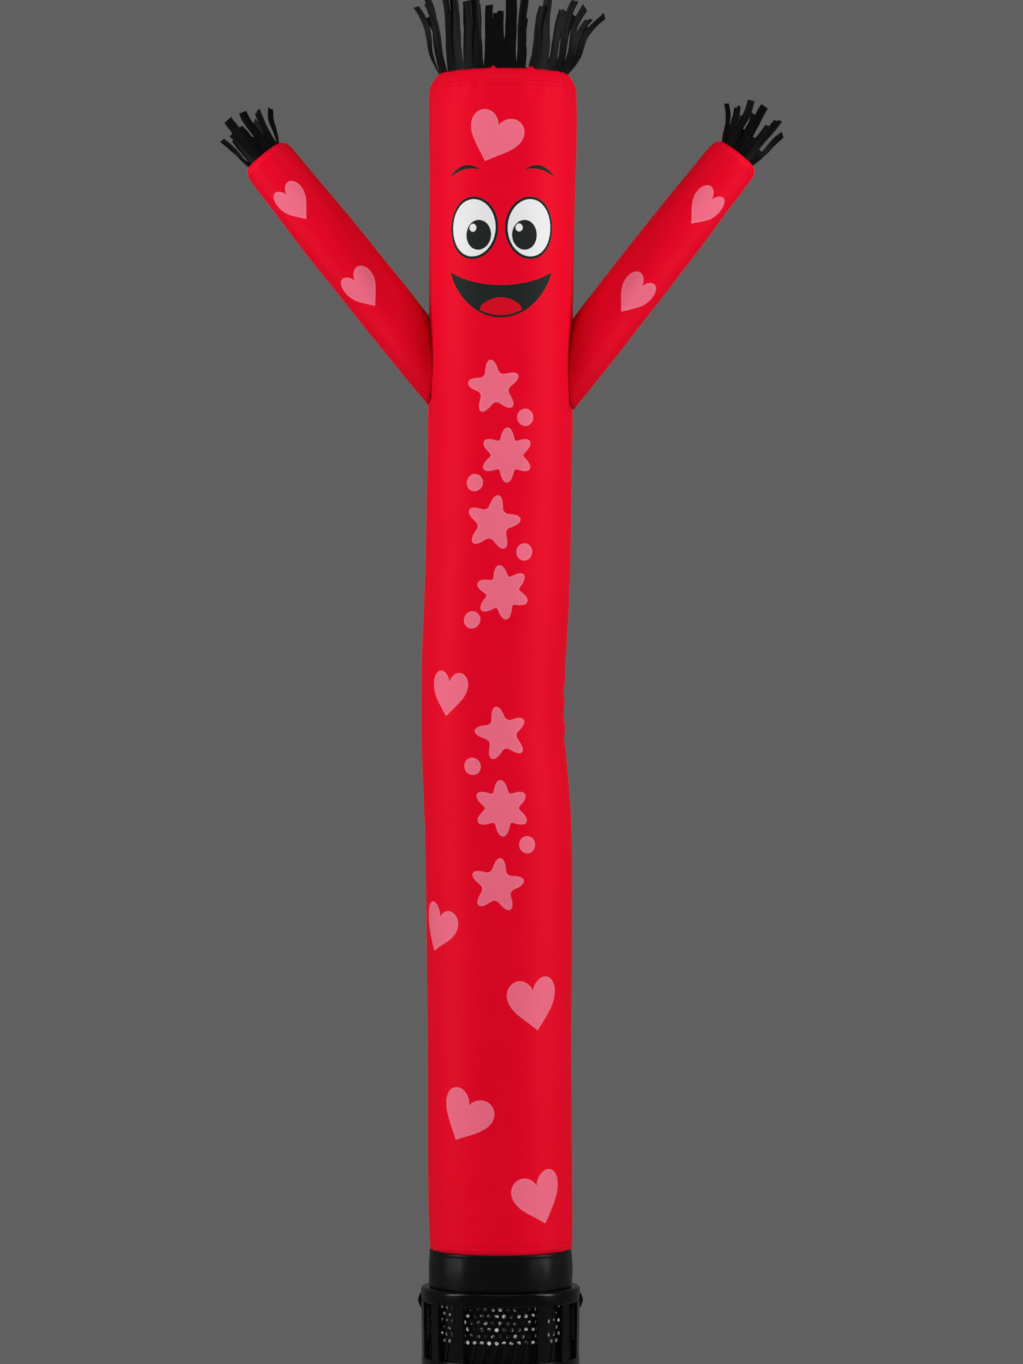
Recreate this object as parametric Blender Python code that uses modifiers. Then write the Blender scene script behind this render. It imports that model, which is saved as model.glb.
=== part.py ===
"""Inflatable air dancer on its round blower: a red cloth tube with two raised arms, black fringes for hair
and hands, and a black cuff round the blower's outlet neck.
Metres, +Z up, the face looks along -Y, the origin is on the blower's flat underside."""

import math
from collections import namedtuple

import bmesh
import bpy
from mathutils import Vector

MM = 0.001
GAP = 0.3 * MM
SHARP_FROM_DEG = 35

# Cloth
CLOTH = 1.2 * MM
ROUND_SIDES = 40
ARM_SIDES = 24

# The air bends the tube a little, so each row of the tube has its own sideways lean
BodyRow = namedtuple("BodyRow", "height lean radius pucker")
BODY_ROWS = [
    BodyRow(2101, 4.5, 100.0, 0.0),
    BodyRow(2094, 4.3, 104.2, 0.5),
    BodyRow(2086, 4.1, 109.3, 0.7),
    BodyRow(2078, 4.0, 113.0, 0.5),
    BodyRow(2068, 3.9, 114.7, 0.2),
    BodyRow(2016, 3.8, 114.7, 0.0),
    BodyRow(1947, 3.1, 113.8, 0.0),
    BodyRow(1840, 1.8, 112.4, 0.0),
    BodyRow(1738, 0.8, 111.6, 0.0),
    BodyRow(1645, 0.0, 111.3, 0.0),
    BodyRow(1552, -0.8, 111.6, 0.0),
    BodyRow(1412, -3.1, 112.4, 0.0),
    BodyRow(1296, -6.2, 112.4, 0.0),
    BodyRow(1235, -9.0, 112.1, 0.0),
    BodyRow(1180, -11.4, 111.6, 0.0),
    BodyRow(1110, -12.4, 111.0, 0.0),
    BodyRow(1060, -10.8, 111.8, 0.0),
    BodyRow(994, -7.0, 113.2, 0.0),
    BodyRow(940, -4.4, 113.8, 0.0),
    BodyRow(808, -2.4, 113.0, 0.0),
    BodyRow(598, -2.2, 111.8, 0.0),
    BodyRow(358, -0.6, 111.5, 0.0),
    BodyRow(302, 0.0, 110.6, 0.0),
    BodyRow(284, 0.0, 109.4, 0.0),
]

# Arms: straight sleeves from holes in the tube's sides, drawn in at the wrist
Arm = namedtuple("Arm", "name root_x root_height tilt_deg")
ARMS = [Arm("left", -111, 1658, -38.7), Arm("right", 116, 1657, 37.9)]
ARM_LENGTH = 408 * MM
ARM_HOLE_RADIUS = 42 * MM
ARM_HOLE_REACH = 75 * MM
ArmRow = namedtuple("ArmRow", "from_wrist radius")
ARM_ROWS = [
    ArmRow(0, 32.0),
    ArmRow(3, 36.0),
    ArmRow(9, 39.6),
    ArmRow(22, 41.4),
    ArmRow(70, 42.4),
    ArmRow(130, 44.2),
    ArmRow(220, 45.0),
    ArmRow(330, 45.0),
    ArmRow(400, 44.6),
    ArmRow(460, 43.8),
    ArmRow(540, 43.8),
]

# Fringes: flat cut strips on a band inside the tube's or sleeve's edge. Angles run from the front towards +X,
# drift is along the ring, and out and drift are at the tip.
FRINGE_CLOTH = 1.2 * MM
BAND_BELOW_EDGE = 6 * MM
BAND_ABOVE_EDGE = 1.5 * MM
BAND_SIDE_DEG = 10
Strip = namedtuple("Strip", "angle width length out drift twist")
HAIR_FRONT = [
    Strip(-88, 12, 113, 32, 0, 50),
    Strip(-76, 12, 119, 27, -4, 22),
    Strip(-65, 12, 109, 26, -8, 10),
    Strip(-54, 14, 126, 13, -2, 0),
    Strip(-43, 14, 122, 6, -11, 0),
    Strip(-32.5, 14, 105, 8, 2, 4),
    Strip(-23, 14, 120, 4, -4, -4),
    Strip(-13.5, 11, 97, 6, 3, 8),
    Strip(-4, 16, 88, 12, 0, 0),
    Strip(6, 15, 122, 10, 2, 0),
    Strip(15.5, 14, 116, 5, -1, 0),
    Strip(28, 14, 100, 13, 12, 0),
    Strip(38, 14, 118, 7, 7, -3),
    Strip(47.5, 13, 97, 14, 13, -6),
    Strip(57.5, 13, 113, 24, 14, -8),
    Strip(67.5, 12, 108, 34, 12, -12),
    Strip(77.5, 12, 94, 31, 8, -18),
    Strip(89, 12, 109, 52, 1, -40),
]
HAIR_SIDE_FROM_DEG = 80
HAIR_BACK_LENGTHENS = [6, -8, 5, -10, 12, 9]
HAIR_STEPS = 4
HAIR_BEND = 1.25
HAND_STRIPS = {
    "left": [
        Strip(-118, 9, 50, 3, 0, 20),
        Strip(-78, 10, 60, 3, 0, 24),
        Strip(-49, 11, 49, 3, 0, 10),
        Strip(-20, 15, 76, 6, 1, 0),
        Strip(18, 13, 71, 7, 3.5, 0),
        Strip(48, 12, 61, 12, 4.5, -8),
        Strip(82, 10, 57, 27, 0, -30),
        Strip(112, 9, 52, 21, 0, -24),
        Strip(145, 12, 56, 7, 0, 0),
        Strip(182, 12, 64, 5, 1, 0),
        Strip(210, 13, 62, 4, 0, 0),
    ],
    "right": [
        Strip(-105, 9, 50, 14, 0, 24),
        Strip(-82, 9, 60, 30, 0, 30),
        Strip(-56, 11, 62, 22, -4.5, 10),
        Strip(-30, 13, 79, 20, -10.5, 4),
        Strip(-3, 13, 82, 10, -8.5, 0),
        Strip(35, 12, 79, 6, -2, 0),
        Strip(76, 10, 68, 9.5, 0, -26),
        Strip(115, 9, 52, 4, 0, -20),
        Strip(160, 12, 70, 5, 1, 0),
        Strip(190, 12, 71, 8, 10, 0),
        Strip(220, 12, 58, 16, 4, 0),
    ],
}
HAND_STEPS = 3
HAND_BEND = 1.5

# Cuff round the outlet neck, a little wider at the blower
CUFF_TOP = 283.7 * MM
CUFF_TOP_RADIUS = 109.0 * MM
CUFF_FOOT_RADIUS = 110.4 * MM

# Blower outlet: a neck on a flange with a rounded rim and a short skirt
NECK_BORE = 104.2 * MM
NECK_RADIUS = CUFF_TOP_RADIUS - CLOTH - GAP
NECK_TOP = 280 * MM
FLANGE_TOP = 226 * MM
FLANGE_UNDERSIDE = 219 * MM
RIM_RADIUS = 123.5 * MM
RIM_ROUNDING = 4 * MM
RIM_ROUNDING_STEPS = 3
SKIRT_INSIDE = 118.5 * MM
SKIRT_BOTTOM = 205 * MM

# Cage: a ring with upright pillars, none straight in front
CAGE_RADIUS = 122.5 * MM
CAGE_WALL = 5 * MM
CAGE_RING_TOP = 118 * MM
PILLAR_FIRST_DEG = 32
PILLAR_PITCH_DEG = 23
PILLARS_EACH_SIDE = 6
PILLAR_WIDTH = 20
PILLAR_LEAN = 0.4

# Guard drum inside the cage and the fan core inside the drum
DRUM_RADIUS = 113.5 * MM
DRUM_WALL = 2 * MM
CORE_RADIUS = 104 * MM
CORE_TOP = 190 * MM
CORE_SHOULDER_DROP = 10 * MM
CORE_SHOULDER_INSET = 16 * MM

# Base: an open tub with a thick lip, which carries the cage and the drum
BASE_TOP = 98 * MM
BASE_RADIUS = 122.5 * MM
BASE_FLOOR = 6 * MM
BASE_WALL = 6.5 * MM
LIP_INSIDE = 109 * MM
LIP_DEPTH = 6 * MM
LIP_TAPER = 4 * MM
FOOT_RADIUS = 130 * MM
FOOT_TOP = 12 * MM
FOOT_EDGE = 2 * MM
FOOT_TAPER_TOP = 22 * MM

# Small fittings
LUG_SIZE = Vector((4.3, 12, 12)) * MM
LUG_HEIGHT = 206 * MM
LUG_ROUNDING = 1 * MM
GLAND_HEIGHT = 45 * MM
GLAND_RADIUS = 10 * MM
GLAND_TIP_RADIUS = 7 * MM
GLAND_LENGTH = 16 * MM
GLAND_SIDES = 24

MATERIALS = {
    # name: (colour, roughness, metallic)
    "red_nylon": ((0.70, 0.004, 0.02), 0.55, 0.0),
    "black_nylon": ((0.012, 0.012, 0.013), 0.6, 0.0),
    "black_plastic": ((0.02, 0.02, 0.021), 0.42, 0.0),
    "pale_plastic": ((0.62, 0.62, 0.6), 0.5, 0.0),
}


def clear_scene():
    for old in list(bpy.data.objects):
        bpy.data.objects.remove(old)


def new_collection(name):
    collection = bpy.data.collections.new(name)
    bpy.context.scene.collection.children.link(collection)
    return collection


def new_material(node, look):
    """The node's own material."""
    colour, roughness, metallic = MATERIALS[look]
    material = bpy.data.materials.new(node)
    material.use_nodes = True
    shader = material.node_tree.nodes["Principled BSDF"]
    shader.inputs["Base Color"].default_value = (*colour, 1)
    shader.inputs["Roughness"].default_value = roughness
    shader.inputs["Metallic"].default_value = metallic
    return material


def add_part(name, mesh, look):
    part = bpy.data.objects.new(name, mesh)
    mesh.materials.append(new_material(name, look))
    parts.objects.link(part)
    return part


def add_cutter(name, mesh):
    cutter = bpy.data.objects.new(name, mesh)
    cutter.hide_render = True
    cutter.display_type = "WIRE"
    cutters.objects.link(cutter)
    return cutter


def mesh_from(name, build):
    """A mesh from a function that fills a bmesh, its faces turned outwards."""
    mesh = bpy.data.meshes.new(name)
    shape = bmesh.new()
    build(shape)
    bmesh.ops.recalc_face_normals(shape, faces=shape.faces)
    shape.to_mesh(mesh)
    shape.free()
    mesh.shade_smooth()
    mesh.set_sharp_from_angle(angle=math.radians(SHARP_FROM_DEG))
    return mesh


def turned(name, profile, look, closed=False, sides=ROUND_SIDES):
    """A profile of (radius, height) points, down its outer side, turned about Z."""
    mesh = bpy.data.meshes.new(name)
    points = [(radius, 0, height) for radius, height in profile]
    edges = [(i, i + 1) for i in range(len(points) - 1)]
    if closed:
        edges.append((len(points) - 1, 0))
    mesh.from_pydata(points, edges, [])
    part = add_part(name, mesh, look)
    screw = part.modifiers.new("turn", "SCREW")
    screw.steps = sides
    screw.render_steps = sides
    screw.use_merge_vertices = True
    screw.merge_threshold = 0.00001
    return part


def tube_mesh(name, rows, sides, widen=0.0, capped=False):
    """A loft through (height, lean, radius, pucker) rows. Puckers go in and out at every other side."""

    def build(shape):
        rings = []
        for height, lean, radius, pucker in rows:
            ring = []
            for side in range(sides):
                turn = math.tau * side / sides
                reach = radius + widen + (pucker if side % 2 else -pucker)
                ring.append(shape.verts.new((lean + reach * math.cos(turn), reach * math.sin(turn), height)))
            rings.append(ring)
        for upper, lower in zip(rings, rings[1:]):
            for side in range(sides):
                after = (side + 1) % sides
                shape.faces.new((lower[side], lower[after], upper[after], upper[side]))
        if capped:
            shape.faces.new(rings[0])
            shape.faces.new(rings[-1])

    return mesh_from(name, build)


def thicken(part, thickness):
    """Cloth thickness, inwards from the outer surface."""
    solid = part.modifiers.new("cloth", "SOLIDIFY")
    solid.thickness = thickness
    solid.offset = -1
    solid.use_even_offset = True


def cut(part, cutter):
    boolean = part.modifiers.new("cut_" + cutter.name, "BOOLEAN")
    boolean.operation = "DIFFERENCE"
    boolean.solver = "EXACT"
    boolean.object = cutter


def ring_point(radius, angle, height):
    """A point at an angle from the front towards +X."""
    return Vector((radius * math.sin(angle), -radius * math.cos(angle), height))


def strip_section(strip, radius, thickness, band_top, share, bend_power):
    """The four corners of a strip at a share of its length: outer pair, then inner pair."""
    angle = math.radians(strip.angle)
    outward = ring_point(1, angle, 0)
    along = Vector((math.cos(angle), math.sin(angle), 0))
    lean = outward * strip.out * MM + along * strip.drift * MM
    rise = math.sqrt((strip.length * MM) ** 2 - lean.length_squared)
    bend = share**bend_power
    middle = ring_point(radius - thickness / 2, angle, band_top) + lean * bend + Vector((0, 0, rise * share))
    twist = math.radians(strip.twist) * share
    across = along * math.cos(twist) - outward * math.sin(twist)
    direction = (lean * bend_power * share ** (bend_power - 1) + Vector((0, 0, rise))).normalized()
    across = (across - direction * across.dot(direction)).normalized()
    through = across.cross(direction).normalized()
    if through.dot(outward) < 0:
        through = -through
    half = across * strip.width * MM / 2
    depth = through * thickness / 2
    return [middle - half + depth, middle + half + depth, middle + half - depth, middle - half - depth]


def crown_mesh(name, radius, thickness, bottom, top, strips, steps, bend_power):
    """A round band with flat strips standing on its top edge."""
    longest_side = math.radians(BAND_SIDE_DEG)
    stops = []
    for strip in strips:
        middle = math.radians(strip.angle)
        half = math.asin(strip.width * MM / 2 / radius)
        stops.append((middle - half, strip))
        stops.append((middle + half, None))
    spans = []
    for (start, strip), (end, _) in zip(stops, stops[1:] + [(stops[0][0] + math.tau, None)]):
        pieces = 1 if strip else math.ceil((end - start) / longest_side)
        for piece in range(pieces):
            spans.append((start + (end - start) * piece / pieces, strip))

    def build(shape):
        posts = []
        for angle, _ in spans:
            post = {}
            for side, reach in (("outer", radius), ("inner", radius - thickness)):
                for level, height in (("low", bottom), ("high", top)):
                    post[side, level] = shape.verts.new(ring_point(reach, angle, height))
            posts.append(post)
        corners = (("outer", "low"), ("outer", "high"), ("inner", "high"), ("inner", "low"))
        for number, (_, strip) in enumerate(spans):
            here = posts[number]
            after = posts[(number + 1) % len(posts)]
            for first, second in zip(corners, corners[1:] + corners[:1]):
                if strip and (first, second) == (corners[1], corners[2]):
                    continue
                shape.faces.new((here[first], after[first], after[second], here[second]))
            if strip:
                section = [here[corners[1]], after[corners[1]], after[corners[2]], here[corners[2]]]
                for step in range(1, steps + 1):
                    places = strip_section(strip, radius, thickness, top, step / steps, bend_power)
                    upper = [shape.verts.new(place) for place in places]
                    for corner in range(4):
                        beside = (corner + 1) % 4
                        shape.faces.new((section[corner], section[beside], upper[beside], upper[corner]))
                    section = upper
                shape.faces.new(section)

    return mesh_from(name, build)


def with_back(front, lengthens):
    """The front strips and, but for those at the sides, like ones behind them, longer or shorter."""
    strips = list(front)
    behind = [strip for strip in front if abs(strip.angle) < HAIR_SIDE_FROM_DEG]
    for number, strip in enumerate(behind):
        length = strip.length + lengthens[number % len(lengthens)]
        angle = 180 - strip.angle
        strips.append(strip._replace(angle=angle, length=length, drift=-strip.drift, twist=-strip.twist))
    return in_order(strips)


def in_order(strips):
    """The strips with their angles between -180 and 180, in order round the ring."""
    turned_back = [strip._replace(angle=(strip.angle + 180) % 360 - 180) for strip in strips]
    return sorted(turned_back, key=lambda strip: strip.angle)


def band_radius(edge_radius, sides):
    """The outer radius of a band that clears the flat sides inside an edge."""
    return (edge_radius - CLOTH) * math.cos(math.pi / sides) - GAP


def place_on_arm(item, arm):
    """Puts an item that is modelled about the arm's own axis, root at its origin, where the arm is."""
    item.location = (arm.root_x * MM, 0, arm.root_height * MM)
    item.rotation_euler = (0, math.radians(arm.tilt_deg), 0)


def make_body():
    rows = [tuple(value * MM for value in row) for row in BODY_ROWS]
    body = add_part("body_tube", tube_mesh("body_tube", rows, ROUND_SIDES), "red_nylon")
    thicken(body, CLOTH)
    envelope_mesh = tube_mesh("body_envelope", rows, ROUND_SIDES, widen=GAP, capped=True)
    return body, add_cutter("body_envelope", envelope_mesh)


def make_arm(arm, body, envelope):
    rows = [(ARM_LENGTH - row.from_wrist * MM, 0, row.radius * MM, 0) for row in ARM_ROWS]
    name = arm.name + "_arm"
    sleeve = add_part(name, tube_mesh(name, rows, ARM_SIDES), "red_nylon")
    place_on_arm(sleeve, arm)
    thicken(sleeve, CLOTH)
    cut(sleeve, envelope)

    hole_rows = [(height, 0, ARM_HOLE_RADIUS, 0) for height in (ARM_HOLE_REACH, -ARM_HOLE_REACH)]
    hole_name = arm.name + "_arm_hole"
    hole = add_cutter(hole_name, tube_mesh(hole_name, hole_rows, ARM_SIDES, capped=True))
    place_on_arm(hole, arm)
    cut(body, hole)


def make_hair():
    edge = BODY_ROWS[0]
    mesh = crown_mesh(
        "hair_fringe",
        band_radius(edge.radius * MM, ROUND_SIDES),
        FRINGE_CLOTH,
        edge.height * MM - BAND_BELOW_EDGE,
        edge.height * MM + BAND_ABOVE_EDGE,
        with_back(HAIR_FRONT, HAIR_BACK_LENGTHENS),
        HAIR_STEPS,
        HAIR_BEND,
    )
    hair = add_part("hair_fringe", mesh, "black_nylon")
    hair.location.x = edge.lean * MM


def make_hand(arm):
    name = arm.name + "_hand_fringe"
    mesh = crown_mesh(
        name,
        band_radius(ARM_ROWS[0].radius * MM, ARM_SIDES),
        FRINGE_CLOTH,
        ARM_LENGTH - BAND_BELOW_EDGE,
        ARM_LENGTH + BAND_ABOVE_EDGE,
        in_order(HAND_STRIPS[arm.name]),
        HAND_STEPS,
        HAND_BEND,
    )
    place_on_arm(add_part(name, mesh, "black_nylon"), arm)


def make_cuff():
    foot = FLANGE_TOP + GAP
    profile = [
        (CUFF_TOP_RADIUS, CUFF_TOP),
        (CUFF_FOOT_RADIUS, foot),
        (CUFF_FOOT_RADIUS - CLOTH, foot),
        (CUFF_TOP_RADIUS - CLOTH, CUFF_TOP),
    ]
    turned("cuff", profile, "black_nylon", closed=True)


def make_outlet():
    rounding = []
    for step in range(RIM_ROUNDING_STEPS + 1):
        turn = math.pi / 2 * step / RIM_ROUNDING_STEPS
        reach = RIM_RADIUS - RIM_ROUNDING * (1 - math.sin(turn))
        rounding.append((reach, FLANGE_TOP - RIM_ROUNDING * (1 - math.cos(turn))))
    profile = [
        (NECK_RADIUS, NECK_TOP),
        (NECK_RADIUS, FLANGE_TOP),
        *rounding,
        (RIM_RADIUS, SKIRT_BOTTOM),
        (SKIRT_INSIDE, SKIRT_BOTTOM),
        (SKIRT_INSIDE, FLANGE_UNDERSIDE),
        (NECK_BORE, FLANGE_UNDERSIDE),
        (NECK_BORE, NECK_TOP),
    ]
    turned("blower_outlet", profile, "black_plastic", closed=True)


def make_cage():
    pillars = []
    for number in range(PILLARS_EACH_SIDE):
        angle = PILLAR_FIRST_DEG + PILLAR_PITCH_DEG * number
        length = (SKIRT_BOTTOM - GAP - CAGE_RING_TOP) / MM
        slant = math.hypot(length, PILLAR_LEAN)
        for side in (-1, 1):
            pillars.append(Strip(side * angle, PILLAR_WIDTH, slant, PILLAR_LEAN, 0, 0))
    bottom = BASE_TOP + GAP
    mesh = crown_mesh("blower_cage", CAGE_RADIUS, CAGE_WALL, bottom, CAGE_RING_TOP, in_order(pillars), 1, 1)
    add_part("blower_cage", mesh, "black_plastic")


def make_guard_drum():
    profile = [
        (DRUM_RADIUS, FLANGE_UNDERSIDE - GAP),
        (DRUM_RADIUS, BASE_TOP + GAP),
        (DRUM_RADIUS - DRUM_WALL, BASE_TOP + GAP),
        (DRUM_RADIUS - DRUM_WALL, FLANGE_UNDERSIDE - GAP),
    ]
    turned("guard_drum", profile, "black_plastic", closed=True)


def make_fan_core():
    profile = [
        (0, CORE_TOP),
        (CORE_RADIUS - CORE_SHOULDER_INSET, CORE_TOP),
        (CORE_RADIUS, CORE_TOP - CORE_SHOULDER_DROP),
        (CORE_RADIUS, BASE_FLOOR + GAP),
        (0, BASE_FLOOR + GAP),
    ]
    turned("fan_core", profile, "pale_plastic")


def make_base():
    inside = BASE_RADIUS - BASE_WALL
    profile = [
        (0, BASE_FLOOR),
        (inside, BASE_FLOOR),
        (inside, BASE_TOP - LIP_DEPTH - LIP_TAPER),
        (LIP_INSIDE, BASE_TOP - LIP_DEPTH),
        (LIP_INSIDE, BASE_TOP),
        (BASE_RADIUS, BASE_TOP),
        (BASE_RADIUS, FOOT_TAPER_TOP),
        (FOOT_RADIUS, FOOT_TOP),
        (FOOT_RADIUS, FOOT_EDGE),
        (FOOT_RADIUS - FOOT_EDGE, 0),
        (0, 0),
    ]
    turned("blower_base", profile, "black_plastic")


def make_lug(name, side):
    """A small catch on the rim, at -X or +X."""

    def build(shape):
        bmesh.ops.create_cube(shape, size=1)
        bmesh.ops.scale(shape, vec=LUG_SIZE, verts=shape.verts)

    lug = add_part(name, mesh_from(name, build), "black_plastic")
    lug.location = (side * (RIM_RADIUS + GAP + LUG_SIZE.x / 2), 0, LUG_HEIGHT)
    bevel = lug.modifiers.new("rounding", "BEVEL")
    bevel.width = LUG_ROUNDING
    bevel.segments = 2


def make_gland():
    """The place where the supply lead enters, at the back of the base."""
    profile = [
        (0, GLAND_LENGTH),
        (GLAND_TIP_RADIUS, GLAND_LENGTH),
        (GLAND_TIP_RADIUS, GLAND_LENGTH / 2),
        (GLAND_RADIUS, GLAND_LENGTH / 2),
        (GLAND_RADIUS, 0),
        (0, 0),
    ]
    gland = turned("cable_gland", profile, "black_plastic", sides=GLAND_SIDES)
    gland.location = (0, BASE_RADIUS + GAP, GLAND_HEIGHT)
    gland.rotation_euler.x = -math.pi / 2


clear_scene()
parts = new_collection("air_dancer")
cutters = new_collection("cutters")

body_tube, body_envelope = make_body()
for one_arm in ARMS:
    make_arm(one_arm, body_tube, body_envelope)
    make_hand(one_arm)
make_hair()
make_cuff()
make_outlet()
make_cage()
make_guard_drum()
make_fan_core()
make_base()
make_lug("rim_lug_left", -1)
make_lug("rim_lug_right", 1)
make_gland()
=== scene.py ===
"""Looks of the inflatable air dancer: red nylon tube and sleeves with pink and black prints, black nylon
fringes and cuff, and a black plastic blower with a perforated guard.
Metres, +Z up, the face looks along -Y. Angles run from the front towards +X."""

from collections import namedtuple
from functools import lru_cache
from math import asin, atan2, copysign, cos, degrees, exp, hypot, pi, radians, sin, sqrt, tau

import bmesh
import bpy
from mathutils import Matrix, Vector, noise
from mathutils.geometry import delaunay_2d_cdt


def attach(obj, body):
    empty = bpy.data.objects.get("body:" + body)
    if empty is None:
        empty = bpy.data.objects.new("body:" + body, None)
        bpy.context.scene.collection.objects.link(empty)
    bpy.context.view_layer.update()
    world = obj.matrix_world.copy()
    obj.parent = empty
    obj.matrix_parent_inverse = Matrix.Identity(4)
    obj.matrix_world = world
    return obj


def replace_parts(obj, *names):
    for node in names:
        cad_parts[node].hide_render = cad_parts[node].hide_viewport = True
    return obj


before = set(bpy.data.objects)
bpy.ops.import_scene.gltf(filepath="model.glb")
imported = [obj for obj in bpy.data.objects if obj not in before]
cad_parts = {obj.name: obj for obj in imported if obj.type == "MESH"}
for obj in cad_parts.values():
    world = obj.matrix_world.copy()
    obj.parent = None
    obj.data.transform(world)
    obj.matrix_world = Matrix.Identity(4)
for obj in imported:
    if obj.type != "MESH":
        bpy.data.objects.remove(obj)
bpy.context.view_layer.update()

MM = 0.001
BODY = "root"

# Camera and picture: the lens sees the tube from a long way off, level with its middle
CAMERA_PLACE = (0.01705, -8.06, 1.161)
PHOTO_HEIGHT_PX = 1364
FOCAL_PX = 5200
SENSOR = 36

# Tube, row by row, as in the solids but rounder at the top: height, sideways lean and radius in millimetres
TUBE_HEIGHTS, TUBE_LEANS, TUBE_RADII = zip(
    (284, 0.0, 109.4), (302, 0.0, 110.6), (358, -0.6, 111.5), (598, -2.2, 111.8), (808, -2.4, 113.0),
    (940, -4.4, 113.8), (994, -7.0, 113.2), (1060, -10.8, 111.8), (1110, -12.4, 111.0), (1180, -11.4, 111.6),
    (1235, -9.0, 112.1), (1296, -6.2, 112.4), (1412, -3.1, 112.4), (1552, -0.8, 111.6), (1645, 0.0, 111.3),
    (1738, 0.8, 111.6), (1840, 1.8, 112.4), (1947, 3.1, 113.8), (2016, 3.8, 114.7), (2062, 3.9, 114.6),
    (2074, 4.0, 113.9), (2082, 4.1, 112.2), (2089, 4.2, 109.2), (2095, 4.3, 105.4), (2101, 4.5, 100.6),
)
TUBE_FOOT = TUBE_HEIGHTS[0]
TUBE_TOP = TUBE_HEIGHTS[-1]
TUBE_SIDES = 144
TUBE_ROW_STEP = 6.4
TOP_ZONE = 40
TOP_ZONE_ROWS = 16
CLOTH = 0.6

# Sleeves: where each starts inside the tube, its tilt from upright, and its radius from the wrist inwards
Arm = namedtuple("Arm", "name mirror root_x root_height tilt_deg")
ARMS = [Arm("left", 1, -111, 1658, -38.7), Arm("right", -1, 116, 1657, 37.9)]
ARM_LENGTH = 408
ARM_FROM_WRIST, ARM_RADII = zip(
    (0, 32.0), (3, 36.0), (9, 39.6), (22, 41.4), (70, 42.4), (130, 44.2), (220, 45.0), (330, 45.0),
    (400, 44.6), (460, 43.8), (540, 43.8),
)
ARM_SIDES = 96
ARM_ROWS_BETWEEN = 110
ARM_HOLE_RADIUS = 41.5

# Folds in the tube: soft troughs and ridges, each with its angle, height, run, width, turn and depth, in
# degrees and millimetres. Turn 0 runs upwards, 90 runs round the tube.
TUBE_FOLDS = [
    # bend in the middle
    (80, 1143, 34, 7, 84, -1.9), (72, 1108, 46, 9, 78, -1.5), (86, 1072, 40, 8, 97, -1.7),
    (60, 1165, 30, 8, 70, -0.9), (84, 1125, 30, 9, 88, 1.2), (84, 1090, 34, 9, 92, 1.2),
    (-70, 1000, 50, 12, 60, -0.8), (-84, 930, 60, 12, 105, -0.9),
    # under and over the sleeves
    (-78, 1588, 34, 6, 6, -2.0), (-70, 1566, 44, 8, 14, -1.1), (-86, 1560, 34, 8, -6, 1.0),
    (78, 1586, 34, 6, -6, -2.0), (69, 1562, 46, 8, -15, -1.2), (87, 1556, 34, 8, 5, 1.0),
    (-74, 1790, 40, 8, -12, -0.9), (74, 1792, 42, 8, 12, -0.9),
    # long slack stretches
    (-30, 1500, 130, 26, 3, -0.6), (36, 1330, 150, 24, -4, -0.6), (-44, 1250, 120, 22, 5, 0.5),
    (8, 930, 140, 30, -3, -0.5), (-36, 640, 150, 24, -4, -0.6), (30, 560, 130, 26, 4, 0.5),
    (140, 1400, 140, 22, 4, -0.9), (-150, 900, 160, 24, -6, -0.9), (165, 600, 120, 20, 5, -0.8),
    (-120, 1900, 120, 20, -4, -0.8),
    # above the cuff
    (-52, 322, 26, 7, -8, -0.9), (-18, 316, 20, 6, 5, -0.6), (24, 320, 24, 7, 9, -0.8),
    (63, 326, 26, 7, -6, -0.9), (118, 320, 26, 7, 8, -0.9), (-112, 324, 26, 8, -8, -0.9),
    (172, 318, 26, 8, 6, -0.9),
]
# Folds in a sleeve: heights are distances from its root along its axis
ARM_FOLDS = [
    (-34, 96, 46, 9, 12, -1.3), (8, 86, 34, 8, -6, -0.9), (-12, 130, 70, 12, 8, 0.7),
    (26, 170, 110, 12, -5, -0.7), (-30, 250, 90, 11, 6, -0.6), (40, 300, 70, 10, -4, -0.6),
    (150, 180, 100, 12, 6, -0.9), (-140, 280, 80, 12, -6, -0.8),
]
FOLD_BOW = 0.0016
TOP_PUCKERS = 23
TOP_PUCKER_REACH = 52
TOP_PUCKER_DEPTH = 2.72
FOOT_PUCKERS = 31
FOOT_PUCKER_REACH = 30
WRIST_PUCKERS = 9
WRIST_PUCKER_REACH = 30
SEAM_REACH = 48
SEAM_SHADE_REACH = 95
SEAM_TUCKS = 11
# Bits of hem that stand up into the hair: angle and height
HEM_BITS = [(-8.75, 4.5), (25.0, 4.6), (151.25, 3.4), (-118.75, 3.6)]
HEM_BIT_HALF_DEG = 2.6
HEM_BIT_REACH = 4

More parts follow.
